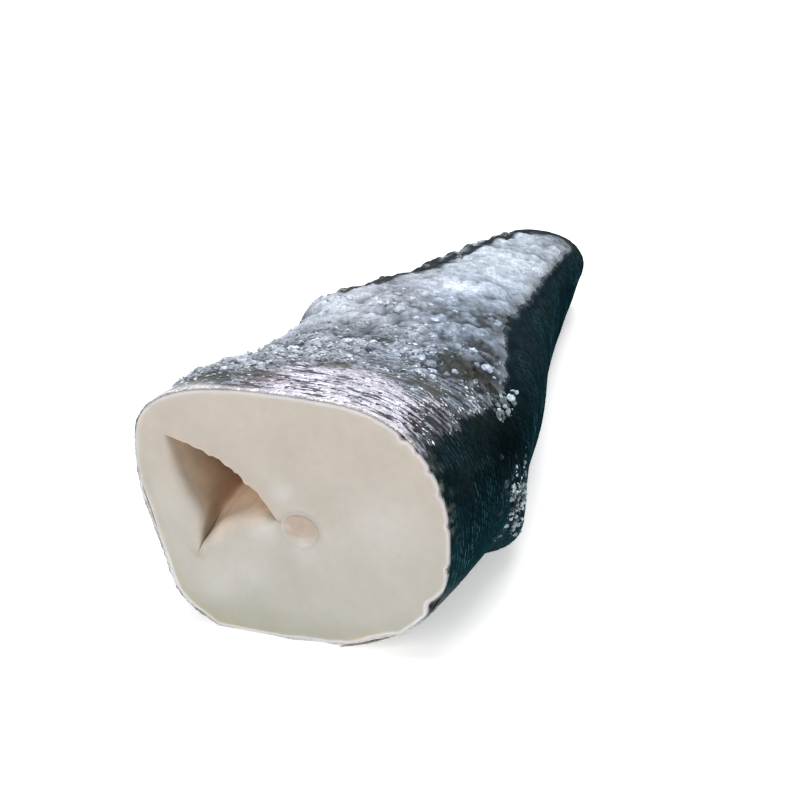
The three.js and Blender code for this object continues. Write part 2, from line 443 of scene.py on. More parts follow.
def spread(tree, value, low, high, to_low, to_high):
    sockets = {"From Min": low, "From Max": high, "To Min": to_low, "To Max": to_high}
    node = add(tree, "ShaderNodeMapRange", sockets)
    tree.links.new(value, node.inputs["Value"])
    return node.outputs["Result"]


def computed(tree, operation, *values):
    """Result of a maths node, from numbers and outputs of other nodes"""
    node = add(tree, "ShaderNodeMath", operation=operation)
    for socket, value in zip(node.inputs, values):
        if isinstance(value, float):
            socket.default_value = value
        else:
            tree.links.new(value, socket)
    return node.outputs["Value"]


def wrinkle_value(tree, stretch):
    """1, with thin lines of 0 that are as wide as the painted value line says"""
    grain = noise_value(tree, {"Scale": 1.0, "Detail": 2.0, "Roughness": 0.5, "Distortion": 0.3}, stretch)
    away = computed(tree, "ABSOLUTE", computed(tree, "SUBTRACT", grain, 0.5))
    part = computed(tree, "DIVIDE", away, painted_value(tree, "line", "Fac"))
    return spread(tree, part, 0.6, 1.4, 0.0, 1.0)


def tinted(name, grain, vary, roughness, bump, edge=None, wrinkles=None, **sockets):
    """A look with its painted tint, varied by noise; with edge, the tint painted as lit takes over past it"""
    material, tree, shader = new_material(name)
    colour = painted_value(tree, "tint", "Color")
    if edge:
        share = spread(tree, painted_value(tree, "edge", "Fac"), *edge, 0.0, 1.0)
        if wrinkles:
            share = computed(tree, "MULTIPLY", share, wrinkle_value(tree, wrinkles))
        both = add(tree, "ShaderNodeMix", data_type="RGBA")
        tree.links.new(share, both.inputs["Factor"])
        tree.links.new(colour, both.inputs[MIX_FIRST])
        tree.links.new(painted_value(tree, "lit", "Color"), both.inputs[MIX_SECOND])
        colour = both.outputs[MIX_RESULT]
    for scale in grain:
        value = noise_value(tree, {"Scale": scale, "Detail": 4.0, "Roughness": 0.6})
        times = add(tree, "ShaderNodeVectorMath", operation="SCALE")
        tree.links.new(colour, times.inputs["Vector"])
        tree.links.new(spread(tree, value, *NOISE_RANGE, 1 - vary, 1 + vary), times.inputs["Scale"])
        colour = times.outputs["Vector"]
    tree.links.new(colour, shader.inputs["Base Color"])
    value = noise_value(tree, {"Scale": grain[0] * 1.7, "Detail": 3.0, "Roughness": 0.5})
    tree.links.new(spread(tree, value, *NOISE_RANGE, *roughness), shader.inputs["Roughness"])
    bump_scale, bump_distance = bump
    bumps = add(tree, "ShaderNodeBump", {"Distance": bump_distance, "Strength": 0.6})
    value = noise_value(tree, {"Scale": bump_scale, "Detail": 5.0, "Roughness": 0.6})
    tree.links.new(value, bumps.inputs["Height"])
    tree.links.new(bumps.outputs["Normal"], shader.inputs["Normal"])
    for key, value in sockets.items():
        shader.inputs[key.replace("_", " ")].default_value = value
    return material


flesh_look = tinted(
    "flesh_look", grain=(30.0, 220.0), vary=0.03, roughness=(0.45, 0.6), bump=(260.0, 0.0002),
    Specular_IOR_Level=0.3, Subsurface_Weight=0.6, Subsurface_Scale=0.008, Subsurface_Radius=(1.0, 0.7, 0.45),
)
bone_look = tinted(
    "bone_look", grain=(120.0, 600.0), vary=0.05, roughness=(0.45, 0.6), bump=(500.0, 0.0002),
    Specular_IOR_Level=0.3, Subsurface_Weight=0.2, Subsurface_Scale=0.003, Subsurface_Radius=(1.0, 0.6, 0.4),
)
dark_skin_look = tinted(
    "dark_skin_look", grain=(90.0, 700.0), vary=0.3, roughness=(0.4, 0.6), bump=(900.0, 0.0004),
    Specular_IOR_Level=0.0,
)
frosted_skin_look = tinted(
    "frosted_skin_look", grain=(230.0, 800.0), vary=0.3, roughness=(0.25, 0.45), bump=(700.0, 0.0012),
    edge=(0.1, 0.9), wrinkles=(140.0, 330.0, 140.0), Specular_IOR_Level=0.14,
)
dark_scale_look = tinted(
    "dark_scale_look", grain=(150.0, 1200.0), vary=0.3, roughness=(0.35, 0.55), bump=(1500.0, 0.0003),
    edge=(0.8, 0.94), Specular_IOR_Level=0.0,
)
frosted_scale_look = tinted(
    "frosted_scale_look", grain=(250.0, 800.0, 1500.0), vary=0.42, roughness=(0.3, 0.5),
    bump=(1100.0, 0.0005), edge=(0.5, 0.58), wrinkles=(36.0, 230.0, 36.0), Specular_IOR_Level=0.12,
)
dark_ice_look = tinted(
    "dark_ice_look", grain=(200.0, 900.0), vary=0.12, roughness=(0.2, 0.4), bump=(700.0, 0.0004),
    Specular_IOR_Level=0.02,
)
ice_look = tinted(
    "ice_look", grain=(200.0, 900.0), vary=0.12, roughness=(0.1, 0.3), bump=(700.0, 0.0004),
    Specular_IOR_Level=0.5, Subsurface_Weight=0.2, Subsurface_Scale=0.002, Subsurface_Radius=(0.8, 0.9, 1.0),
)


# The cut: its rim, the cavity's mouth and the backbone
RIM_POINTS = 480
RAGGED_AT, RAGGED_FADE = 3.4, 7.0  # turn of the skin's ragged edge, and its reach along the body

# Places where the flesh stands back from the skin, with painted shade on the skin at the nicks: turn, width
# and depth
RIM_HOLLOW = (2.22, 0.09, 1.1)
RIM_NICKS = (
    (0.6, 0.018, 2.0), (0.5, 0.012, 1.2), (0.38, 0.014, 1.6), (0.25, 0.02, 1.6), (0.1, 0.013, 1.2),
    (3.93, 0.016, 1.3), (3.72, 0.03, 0.9),
)


def rim_wave(share, turn):
    """How far the skin's edge at the cut stands off: wavy at the foot and up towards the back"""
    ragged = band(wrapped(turn - RAGGED_AT), -0.75, -0.45, 0.35, 0.6)
    spot = unrolled(share, turn)
    wave = noise(spot, 7.0, 11) * 1.5 + noise(spot, 3.2, 12) * 0.8
    return ragged * wave * np.exp(-share * LENGTH / RAGGED_FADE)


def make_rim():
    """The flesh's edge at the cut, as a loop of x and z"""
    places = (RIM_HOLLOW, *RIM_NICKS)
    back = sum(deep * bell(wrapped(rim_turns - place), wide) for place, wide, deep in places)
    at_cut = np.zeros(RIM_POINTS)
    loop = lifted(at_cut, rim_turns, rim_wave(at_cut, rim_turns) - FLESH_UNDER - back)[:, [0, 2]]
    loop[:, 1] = np.maximum(loop[:, 1], 0.3)
    return loop


def on_plane(points):
    """Points of a cut as points in space, for noise"""
    return np.stack([points[:, 0], points[:, 1], np.zeros(len(points))], -1)


def bezier_edge(start, end, bulge, count):
    chord = end - start
    aside = np.array((chord[1], -chord[0])) / np.linalg.norm(chord)
    control = (start + end) / 2 + aside * 2 * bulge
    t = np.arange(count)[:, None] / count
    return (1 - t) ** 2 * start + 2 * t * (1 - t) * control + t**2 * end


def cavity_mouth():
    """The mouth's loop, counter-clockwise from the spine corner, and how round its lip is there"""
    edges = (
        (CAVITY_SPINE, CAVITY_BELLY, ROOF_BULGE, ROOF_LIP),
        (CAVITY_BELLY, CAVITY_FLANK, WALL_BULGE, WALL_LIP),
        (CAVITY_FLANK, CAVITY_SPINE, FLOOR_BULGE, FLOOR_LIP),
    )
    loop = np.concatenate([bezier_edge(a, b, bulge, EDGE_POINTS) for a, b, bulge, _ in edges])
    t = np.arange(EDGE_POINTS) / EDGE_POINTS
    arch = np.sin(np.pi * t)
    lips = np.concatenate([LEAST_LIP + (lip - LEAST_LIP) * arch**0.7 for *_, lip in edges])
    jag = noise(on_plane(loop), 2.6, 21) + 0.5 * noise(on_plane(loop), 1.6, 22)
    jag = jag * np.repeat((ROOF_JAG, OTHER_JAG, OTHER_JAG), EDGE_POINTS) * np.tile(arch, 3)
    swing = np.concatenate([ROOF_RAISED * arch, MOUTH_SWING * np.sin(2 * np.pi * t**1.25), 0 * t])
    swing -= SLIT_CLOSED * bell(np.arange(len(loop)) / EDGE_POINTS - 2.17, 0.15)
    loop = loop + unit(loop - CAVITY_TIP) * (jag + swing)[:, None]
    loop[2 * EDGE_POINTS] = SLIT_END
    return loop, lips


rim_turns = even_turns(0.0, RIM_POINTS)
rim_loop = make_rim()
mouth_loop, mouth_lips = cavity_mouth()
bone_angles = np.arange(BONE_POINTS) / BONE_POINTS * 2 * math.pi


def bone_ring(share, radius):
    r = rails_at(np.full(BONE_POINTS, float(share)))
    x = r[:, BONE_X] + radius * np.cos(bone_angles)
    return np.stack([x, r[:, ALONG], r[:, BONE_Z] + radius * np.sin(bone_angles)], -1)


def inside(loop, points):
    hit = np.zeros(len(points), bool)
    for a, b in zip(loop, np.roll(loop, -1, 0)):
        crosses = (a[1] > points[:, 1]) != (b[1] > points[:, 1])
        rise = b[1] - a[1] if abs(b[1] - a[1]) > 1e-12 else 1e-12
        hit ^= crosses & (points[:, 0] < (b[0] - a[0]) * (points[:, 1] - a[1]) / rise + a[0])
    return hit


def nearest(points, loop):
    """Distance from each point to a loop's points, and which one is nearest"""
    gaps = np.linalg.norm(points[:, None, :] - loop[None, :, :], axis=2)
    return gaps.min(1), gaps.argmin(1)


def offset_loop(loop, distance):
    """A counter-clockwise loop moved outwards, or inwards where distance is negative"""
    way = np.roll(loop, -1, 0) - np.roll(loop, 1, 0)
    return loop + unit(np.stack([way[:, 1], -way[:, 0]], -1)) * distance


PATCH_PITCH = 1.7
LEAST_GAP, LEAST_STEP = 0.3, 0.2


def flat_patch(outer, holes, rings):
    """Triangles between an outer loop and holes; the loops' points come first, then the ones in between"""
    loops = [outer, *holes]

    def between(points):
        ok = inside(outer, points)
        for hole in holes:
            ok &= ~inside(hole, points)
        return ok

    def clear(points, gap):
        return np.all([nearest(points, loop)[0] > gap for loop in loops], 0)

    # Rings of points along the loops
    near = [offset_loop(outer, -d) for d in rings] + [offset_loop(hole, d) for hole in holes for d in rings]
    near = np.concatenate(near)
    apart = []
    for p in near[between(near) & clear(near, LEAST_GAP)]:
        if not apart or min(np.hypot(*(p - q)) for q in apart[-3:]) > LEAST_STEP:
            apart.append(p)

    # A grid of points elsewhere
    low, high = outer.min(0), outer.max(0)
    xs, zs = np.arange(low[0], high[0], PATCH_PITCH), np.arange(low[1], high[1], PATCH_PITCH * 0.866)
    grid = np.stack(np.meshgrid(xs, zs, indexing="ij"), -1)
    grid[:, ::2, 0] += PATCH_PITCH / 2
    grid = grid.reshape(-1, 2)
    grid = grid[between(grid) & clear(grid, max(rings) + 0.6 * PATCH_PITCH)]

    points = np.concatenate([*loops, np.array(apart), grid])
    edges, start = [], 0
    for loop in loops:
        n = len(loop)
        edges += [(start + i, start + (i + 1) % n) for i in range(n)]
        start += n
    _, _, made, made_from, *_ = delaunay_2d_cdt([Vector(p) for p in points], edges, [], 0, 1e-7)
    origin = [known[0] if known else -1 for known in made_from]
    triangles = np.array([[origin[i] for i in f] for f in made])
    triangles = triangles[(triangles >= 0).all(1)]
    triangles = triangles[between(points[triangles].mean(1))]
    a, b, c = (points[triangles[:, k]] for k in range(3))
    turned = (b[:, 0] - a[:, 0]) * (c[:, 1] - a[:, 1]) - (b[:, 1] - a[:, 1]) * (c[:, 0] - a[:, 0]) < 0
    triangles[turned] = triangles[turned][:, ::-1]
    return points, triangles


def face_height(points, bone_centre):
    """How far points of the cut stand behind its plane: round lips, soft swells and a rounded edge"""
    gap, which = nearest(points, mouth_loop)
    lip = mouth_lips[which]
    t = np.clip(1 - gap / lip, 0, 1)
    y = lip * (1 - np.sqrt(1 - t * t))
    y += 0.35 * noise(on_plane(points), 26.0, 31) + 0.15 * noise(on_plane(points), 8.0, 32)
    away = np.linalg.norm(points - bone_centre, axis=1)
    y -= 0.9 * bell(away - BONE_CUT - 3.5, 3.5) * smooth(points[:, 1], 50, 72)
    rim = nearest(points, rim_loop)[0]
    return y + (-0.45 * bell(rim - 1.8, 1.4) + 0.8 * np.exp(-rim / 0.5))


# Colours of the flesh
LOW_FLESH, HIGH_FLESH = (0.395, 0.382, 0.342), (0.43, 0.388, 0.342)
HIGHLIGHT_FLESH, DULL_FLESH = (0.53, 0.525, 0.515), (0.33, 0.325, 0.26)
YELLOW_LINE, WHITE_EDGE, PAINTED_LIT_LIP = (0.42, 0.37, 0.20), (0.60, 0.58, 0.60), (0.78, 0.67, 0.56)
CRACK_BROWN, SEAM_BROWN, MOUTH_BROWN = (0.30, 0.21, 0.15), (0.36, 0.30, 0.26), (0.36, 0.25, 0.16)
UNDER_SKIN, BORE_BROWN = (0.7, 0.68, 0.62), (0.45, 0.33, 0.25)
WALL_FRONT, WALL_DEEP, WALL_SHADE = (0.47, 0.38, 0.285), (0.42, 0.28, 0.195), (0.33, 0.215, 0.145)
LIT_FLOOR_FRONT, LIT_FLOOR_DEEP = (0.72, 0.62, 0.50), (1.0, 0.75, 0.52)
BELLY_CORNER, SPINE_CORNER = (0.50, 0.41, 0.32), (0.80, 0.56, 0.38)
HIGHLIGHT_PATCHES = (
    # painted highlights on the cut, as on its soft swells: x and z of the middle, reach and strength
    (-3.0, 77.7, 6.0, 0.5), (-14.0, 56.0, 8.0, 0.45), (-58.0, 62.0, 11.0, 0.2), (-20.0, 34.0, 12.0, 0.35),
    (45.0, 66.0, 18.0, 0.35), (-38.0, 24.0, 10.0, 0.3), (6.0, 47.5, 6.0, 0.4),
)
CRACK = np.array((4.0, -1.0))  # from the cavity's spine corner
SEAM_X = 13.2
PAST_MARKS = (200, 50)  # the tail's cut takes its tint from beside the big cut, clear of its marks
NO_MOUTH = 99.0  # distance to the cavity's mouth on a cut that has none


def inside_wedge(points):
    """1 on the side of the cavity's mouth where its floor curves in"""
    chord = CAVITY_SPINE - CAVITY_FLANK
    along = ((points - CAVITY_FLANK) @ chord) / (chord @ chord)
    below = (points - CAVITY_FLANK) @ np.array((chord[1], -chord[0])) / np.linalg.norm(chord)
    return band(along, 0.0, 0.3, 0.75, 1.05) * smooth(below, -13.0, -10.0)


def face_tint(points, rim, mouth_gap):
    """Flesh colour over a cut: cream, cooler low down, painted highlights, a white edge with a thin yellow
    line inside it, and painted light on the cavity's curved-in lip
    """
    x, z = points.T
    spot = on_plane(points)
    tint = paint(LOW_FLESH, HIGH_FLESH, smooth(z, 15, 110))
    tint *= (1 + 0.045 * noise(spot, 19.0, 41) + 0.02 * noise(spot, 6.0, 42))[:, None]
    # painted highlights on the flesh
    for at_x, at_z, reach, amount in HIGHLIGHT_PATCHES:
        tint = paint(tint, HIGHLIGHT_FLESH, amount * bell(np.hypot(x - at_x, z - at_z), reach))
    tint = paint(tint, DULL_FLESH, 0.5 * smooth(-z, -22, -4))
    low = smooth(-z, -60, -15)
    patchy = smooth(noise(spot, 11.0, 43), -0.3, 0.5)
    tint = paint(tint, YELLOW_LINE, bell(rim - 3.2, 0.9) * low * 0.5 * patchy)
    wide = mix(0.9, 2.0, low)
    tint = paint(tint, WHITE_EDGE, 0.8 * (1 - smooth(rim, wide - 0.5, wide + 0.6)))
    # painted light on the lip where the cavity's floor curves in, away from the light
    lip = np.clip(1 - mouth_gap / 10.0, 0, 1) * inside_wedge(points)
    tint = paint(tint, PAINTED_LIT_LIP, 0.9 * lip**2.4)
    along = np.clip((x - CAVITY_SPINE[0]) / CRACK[0], 0, 1)
    crack = np.linalg.norm(points - CAVITY_SPINE - along[:, None] * CRACK, axis=1)
    tint = paint(tint, CRACK_BROWN, 0.5 * bell(crack, 0.9))
    seam = bell(x - SEAM_X, 0.7) * band(z, 46, 50, 57, 62)
    tint = paint(tint, SEAM_BROWN, 0.35 * seam)
    return paint(tint, MOUTH_BROWN, np.exp(-mouth_gap / 1.6) * 0.3 * (1 - lip))


class RingMesh:
    """A mesh that grows ring by ring"""

    def __init__(self):
        self.points, self.tints, self.faces = [], [], []
        self.count = 0

    def put(self, points, tint):
        """Adds points, with one tint or a tint each, and returns their numbers"""
        self.points.append(points)
        self.tints.append(np.broadcast_to(tint, points.shape))
        self.count += len(points)
        return np.arange(self.count - len(points), self.count)

    def extend(self, ring, points, tint, facing_in=False):
        """Adds a ring of points after another, with faces between them, and returns its numbers"""
        after = self.put(points, tint)
        a, b = (after, ring) if facing_in else (ring, after)
        self.faces += np.stack([a, b, np.roll(b, -1), np.roll(a, -1)], -1).tolist()
        return after

    def close(self, ring, tip):
        """Adds triangles between a ring and a point"""
        self.faces += np.stack([np.broadcast_to(tip, ring.shape), ring, np.roll(ring, -1)], -1).tolist()

    def make(self, name, look, smooth_angle):
        tints = {"tint": np.concatenate(self.tints)}
        return piece(name, np.concatenate(self.points), self.faces, [look], smooth_angle, tints)


def cavity_walls(mesh, ring, mouth_y):
    """Walls of the cavity, from the mouth to its tip, with the low corner rounded further in"""
    edge = np.arange(len(ring)) / EDGE_POINTS
    floor_side = band(edge, 1.93, 2.22, 2.85, 3.0)
    belly_corner = bell(edge - 1.0, 0.5)
    spine_corner = bell(np.minimum(edge, 3 - edge), 0.4)
    low_corner = bell(edge - 2.0, np.where(edge < 2.0, 0.3, 0.6))[:, None]
    low_wall = bell(edge - 1.72, 0.22)
    rounded = np.mean([np.roll(mouth_loop, step, 0) for step in range(-12, 13)], 0)
    for t in np.linspace(0, 1, 46)[1:]:
        scale = 1 - (1 - TIP_SHARE) * t**CAVITY_TAPER
        inward = smooth(t * CAVITY_DEPTH, 3, 26) * low_corner
        loop = mix(mouth_loop, rounded, inward) + np.array((-1.2, 1.0)) * inward
        xz = CAVITY_TIP + (loop - CAVITY_TIP) * scale
        p = np.stack([xz[:, 0], mouth_y + (CAVITY_DEPTH - mouth_y) * t, xz[:, 1]], -1)
        fold = noise(p * np.array((1, 0.35, 1)), 7.0, 51) * 0.9 + noise(p, 3.0, 52) * 0.25
        p[:, [0, 2]] += unit(xz - CAVITY_TIP) * (fold * min(1, t * 9) * scale)[:, None]
        deep = smooth(t * CAVITY_DEPTH, 0, 34)
        wall = np.tile(mix(WALL_FRONT, WALL_DEEP, deep), (len(ring), 1))
        # painted shade low on the wall by the cavity's low corner, from a little way in
        wall = paint(wall, WALL_SHADE, 0.6 * low_wall * smooth(t * CAVITY_DEPTH, 1, 12))
        # painted light on the cavity's floor side, lighter deeper in, where it lies in shade
        wall = paint(wall, mix(LIT_FLOOR_FRONT, LIT_FLOOR_DEEP, deep), floor_side)
        wall = paint(wall, BELLY_CORNER, 0.6 * belly_corner * (1 - deep))
        wall = paint(wall, SPINE_CORNER, 0.6 * spine_corner)
        wall *= 1 + 0.12 * noise(p, 6.0, 53)[:, None]
        ring = mesh.extend(ring, p, wall, facing_in=True)
    tip = mesh.put(p.mean(0, keepdims=True) + np.array((0, 1.0, 0)), wall[:1])
    mesh.close(ring[::-1], tip)


def make_flesh():
    mesh = RingMesh()
    bone_loop = bone_ring(0, BONE_CUT + BONE_GAP)[:, [0, 2]]
    front, triangles = flat_patch(rim_loop, [mouth_loop, bone_loop], (0.7, 1.5, 2.5, 3.8, 5.4))
    y = face_height(front, bone_loop.mean(0))
    tint = face_tint(front, nearest(front, rim_loop)[0], nearest(front, mouth_loop)[0])
    numbers = mesh.put(np.stack([front[:, 0], y, front[:, 1]], -1), tint)
    mesh.faces += triangles.tolist()
    rim, mouth, bore, _ = np.split(numbers, np.cumsum((RIM_POINTS, len(mouth_loop), BONE_POINTS)))

    # Side under the skin, from the rim to the tail
    for share in np.linspace(0, 1, 61)[1:]:
        here = np.full(RIM_POINTS, share)
        side = lifted(here, rim_turns, -FLESH_UNDER - CRUST_SUNK * crust_strength(here, rim_turns))
        rim = mesh.extend(rim, side, UNDER_SKIN)

    cavity_walls(mesh, mouth, y[mouth])

    # Bore round the backbone, from the cut to the tail
    for share in np.linspace(0, 1, 31)[1:]:
        wall = bone_ring(share, mix(BONE_CUT, BONE_TAIL, share) + BONE_GAP)
        bore = mesh.extend(bore, wall, BORE_BROWN, facing_in=True)

    # Cut at the tail
    tail_loop = side[:, [0, 2]]
    tail, triangles = flat_patch(tail_loop, [wall[:, [0, 2]]], (0.7, 1.5, 2.5))
    extra = tail[RIM_POINTS + BONE_POINTS:]
    y = LENGTH + 0.3 * noise(on_plane(extra), 9.0, 33)
    tint = face_tint(extra + PAST_MARKS, nearest(extra, tail_loop)[0], np.full(len(extra), NO_MOUTH))
    numbers = np.concatenate([rim, bore, mesh.put(np.stack([extra[:, 0], y, extra[:, 1]], -1), tint)])
    mesh.faces += numbers[triangles[:, ::-1]].tolist()
    return mesh.make("flesh", flesh_look, 50)


flesh = make_flesh()
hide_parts("trunk")


# Backbone: a rod with a low ridged face at each cut, whose edge laps over the gap in the flesh
BONE_PALE, BONE_PINK, BONE_WHITE = (0.41, 0.385, 0.343), (0.375, 0.303, 0.25), (0.51, 0.48, 0.45)
BONE_LINE, BONE_FOLD, BONE_SIDE = (0.28, 0.19, 0.145), (0.40, 0.31, 0.23), (0.6, 0.48, 0.38)
BONE_LAP_PART = 1 + BONE_LAP / BONE_CUT
BONE_PROUD_LINE = ((0.8, 0.1), (1.0 + BONE_GAP / BONE_CUT, 0.02), (BONE_LAP_PART, -0.05))
TAIL_PROUD = 0.3


def bone_face(points, radius):
    """How far a cut end of the bone stands out, and its colour, at points relative to its centre"""
    x, z = points[:, 0] / radius, points[:, 1] / radius

    def spot(at_x, at_z, size):
        return np.exp(-((x - at_x) ** 2 + (z - at_z) ** 2) / size)

    far = np.hypot(x, z)
    angle = np.degrees(np.arctan2(z, x))
    upper = smooth(z, -0.7, 0.05)
    line = bell(far - 0.91 - 0.05 * np.cos(np.radians(2 * angle)), 0.06) * band(angle, -70, 10, 120, 165)
    fold = bell(z + 0.3 + 0.12 * x, 0.1) * smooth(-x, -0.35, 0.15) * (1 - smooth(far, 0.6, 0.9))
    out = 0.55 * upper * spot(-0.05, 0.2, 0.5) + 0.7 * spot(0.15, -0.62, 0.08)
    out -= 0.3 * line + 0.3 * fold
    out += 0.12 * noise(on_plane(points), 2.5, 61)
    out *= 1 - smooth(far, 0.97, 1.03)
    tint = paint(BONE_PALE, BONE_PINK, upper * (1 - smooth(far, 0.8, 1.0)))
    pale = spot(-0.72, 0.05, 0.05) + spot(0.2, -0.68, 0.09)
    tint = paint(tint, BONE_WHITE, np.clip(0.5 * pale, 0, 1))
    tint = paint(tint, BONE_LINE, 0.4 * line)
    return out * radius / BONE_CUT, paint(tint, BONE_FOLD, 0.35 * fold)


def bone_end(at_tail, part):
    """Points and tints of a ring on a cut end of the bone, at a part of its radius"""
    radius = BONE_TAIL if at_tail else BONE_CUT
    centre = bone_ring(at_tail, 0.0)[0, [0, 2]]
    p = bone_ring(at_tail, radius * part)
    out, tint = bone_face(p[:, [0, 2]] - centre, radius)
    proud = out + drawn(part, BONE_PROUD_LINE)
    p[:, 1] = LENGTH + TAIL_PROUD + proud if at_tail else face_height(p[:, [0, 2]], centre) - proud
    return p, tint


def make_backbone():
    parts = np.concatenate([np.linspace(0.06, 0.8, 13), np.linspace(0.83, 1.0, 9), [BONE_LAP_PART]])
    rows = [bone_end(False, part) for part in parts]
    for share in np.linspace(0, 1, 60)[1:-1]:
        waist = 1 - 0.05 * math.sin(share * LENGTH / VERTEBRA * math.pi) ** 2
        rows.append((bone_ring(share, mix(BONE_CUT, BONE_TAIL, share) * waist), BONE_SIDE))
    rows += [bone_end(True, part) for part in parts[::-1]]
    mesh = RingMesh()
    front = last = mesh.put(*rows[0])
    for points, tint in rows[1:]:
        last = mesh.extend(last, points, tint)
    for ring, (points, tint) in ((front, rows[0]), (last[::-1], rows[-1])):
        mesh.close(ring, mesh.put(points.mean(0, keepdims=True), tint[:1]))
    return mesh.make("backbone_bone", bone_look, 60)


backbone = make_backbone()
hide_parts("backbone")


# Colour of the skin and how much frost lies on it
FROST = np.array((0.45, 0.512, 0.605))
BACK_FROST_HUE, CREST_FROST_HUE = (0.94, 1.0, 1.07), (1.04, 0.99, 0.98)
TAIL_FROST, WHITE_FROST = (0.45, 0.508, 0.595), (0.72, 0.77, 0.84)
# painted sheen: the reflection of the light from behind on wet skin near the cut
GLARE = np.array((0.65, 0.625, 0.725))
OLIVE = np.array((0.038, 0.034, 0.018))
GREY_SKIN, BACK_SKIN, BELLY_SKIN = (0.022, 0.029, 0.033), (0.0020, 0.0118, 0.0156), (0.30, 0.295, 0.29)
BLOTCH, GREEN_FROST = (0.030, 0.027, 0.016), (0.12, 0.14, 0.12)
PALE_LIT_FOOT, SHOULDER = (0.78, 0.75, 0.70), (0.58, 0.56, 0.57)
FROST_PATCHES = (
    # on the upper flank: share, turn, reach, added frost, and how olive the bare skin is there
    (0.555, 0.92, 10.0, 1.0, 0.0), (0.66, 0.78, 7.0, 0.5, 0.0), (0.75, 0.9, 20.0, 0.4, 0.0),
    (0.41, 1.32, 20.0, 0.35, 0.0), (0.465, 1.01, 15.0, 0.2, 0.0), (0.34, 0.95, 14.0, 0.25, 0.0),
    (0.20, 1.15, 14.0, 0.35, 0.0), (0.277, 0.63, 14.0, -1.1, 1.0), (0.054, 1.15, 7.0, -0.9, 0.6),
    (0.134, 1.03, 7.0, -1.0, 1.0), (0.155, 0.72, 8.0, -0.8, 0.5), (0.45, 0.72, 10.0, -0.35, 0.0),
    (0.50, 0.60, 10.0, -0.3, 0.2), (0.36, 0.58, 9.0, -0.4, 0.3), (0.05, 1.4, 9.0, -0.5, 0.4),
)


def patches(points):
    """Frost added by the patches, and how olive the skin is"""
    frost, olive = 0, 0
    for share, turn, reach, added, olive_amount in FROST_PATCHES:
        near = bell(np.linalg.norm(points - surface(share, turn), axis=-1), reach)
        frost, olive = frost + added * near, olive + olive_amount * near
    return frost, np.clip(olive, 0, 1)


def frost_tint(share, turn):
    """Lavender grey at the crest, bluer towards the back, whiter towards the tail"""
    tint = FROST * paint(BACK_FROST_HUE, CREST_FROST_HUE, smooth(turn, 0.8, 1.15))
    tint = paint(tint, TAIL_FROST, smooth(share, 0.45, 0.75))
    return paint(tint, WHITE_FROST, np.clip(0.9 * patches(surface(share, turn))[0], 0, 1))


def on_upper(share, turn, points):
    """1 on the frosted upper flank, with a sharp edge towards the back and islands past the other edge"""
    side = wrapped(turn)
    edge = drawn(share, FROST_BACK_LINE) + 0.03 * noise(points, 12.0, 81) + 0.015 * noise(points, 3.0, 82)
    far = drawn(share, FROST_BELLY_LINE) + 0.05 * noise(points, 22.0, 79) + 0.025 * noise(points, 6.0, 80)
    soft = mix(0.015, 0.045, smooth(share, 0.3, 0.5))
    far_soft = mix(0.2, 0.1, smooth(share, 0.4, 0.6))
    strip = band(side, edge - soft, edge + soft, far, far + far_soft)
    spots = smooth(noise(points, 9.0, 78) + 0.6 * noise(points, 3.5, 74), 0.1, 0.5) * smooth(share, 0.4, 0.5)
    islands = 0.85 * spots * smooth(side, far + 0.16, far + 0.3) * (1 - smooth(side, 1.6, 2.0))
    return np.where(side < -1.5, 0, np.maximum(strip, islands)) * (1 - smooth(share, 0.955, 0.99))


def dark_back(turn):
    """1 on the dark back, fading round the body"""
    return bell(wrapped(turn + 0.2), 1.0)


def back_tone(turn, points):
    """How light the dark back is: lighter low down at the cut, darkest next to the frost behind it"""
    share = points[..., 1] / LENGTH
    upper = smooth(wrapped(turn), -0.25, 0.2)
    near = 1 - smooth(share, 0.28, 0.42)
    dark = np.exp(-(((share - 0.2) / 0.075) ** 2) - ((wrapped(turn) - 0.25) / 0.22) ** 2)
    return 1 + near * (0.8 - 1.05 * upper) - 0.4 * dark + 0.3 * noise(points, 24.0, 72)


def rim_streaks(turn, points):
    """Thin greenish frost on the dark back just behind the cut, in streaks along the body"""
    streak = smooth(noise(points * np.array((1, 0.2, 1)), 1.8, 73), -0.1, 0.6)
    return streak * band(wrapped(turn), -0.1, 0.15, 0.4, 0.48) * bell(points[..., 1], 7.0)


def skin_tint(turn, points):
    """Skin without frost: nearly black blue-green on the back, pale at the belly, and pale at the cut's foot:
    its pale edge, with painted light over the shade by the floor
    """
    back = dark_back(turn)
    belly = bell(wrapped(turn - 2.3), 0.6)
    tint = paint(GREY_SKIN, BACK_SKIN, back)
    tint = paint(tint, BELLY_SKIN, 0.85 * belly)
    blotch = smooth(noise(points, 21.0, 71), 0.1, 0.7) * (1 - belly) * (1 - back)
    tint = paint(tint, BLOTCH, 0.7 * blotch)
    tint = tint * mix(1, back_tone(turn, points), back)[..., None]
    tint = paint(tint, GREEN_FROST, 0.8 * rim_streaks(turn, points))
    # the cut's foot: the skin's pale edge, lightened further as painted light over the shade by the floor
    foot = np.exp(-((wrapped(turn - 3.2) / 0.45) ** 4)) * np.exp(-points[..., 1] / 16.0)
    return paint(tint, PALE_LIT_FOOT, 0.95 * foot)


def pale_shoulder(turn, points):
    """1 at the cut's upper edge, where the skin's edge is white: a line on top, wider on the belly's side"""
    turn = wrapped(turn - 2) + 2
    reach = 2.3 + 7.7 * smooth(turn, 1.2, 1.45) + 8.0 * smooth(turn, 1.5, 1.75)
    return band(turn, 0.44, 0.58, 2.2, 2.45) * bell(points[..., 1], reach)


def blush(points):
    """1 in reddish streaks behind the cut, where the whitish band begins"""
    streak = smooth(noise(points * np.array((0.4, 1, 1)), 2.4, 74), -0.25, 0.45)
    return streak * bell(points[..., 0] + 15, 14) * bell(points[..., 1] - 11, 10)


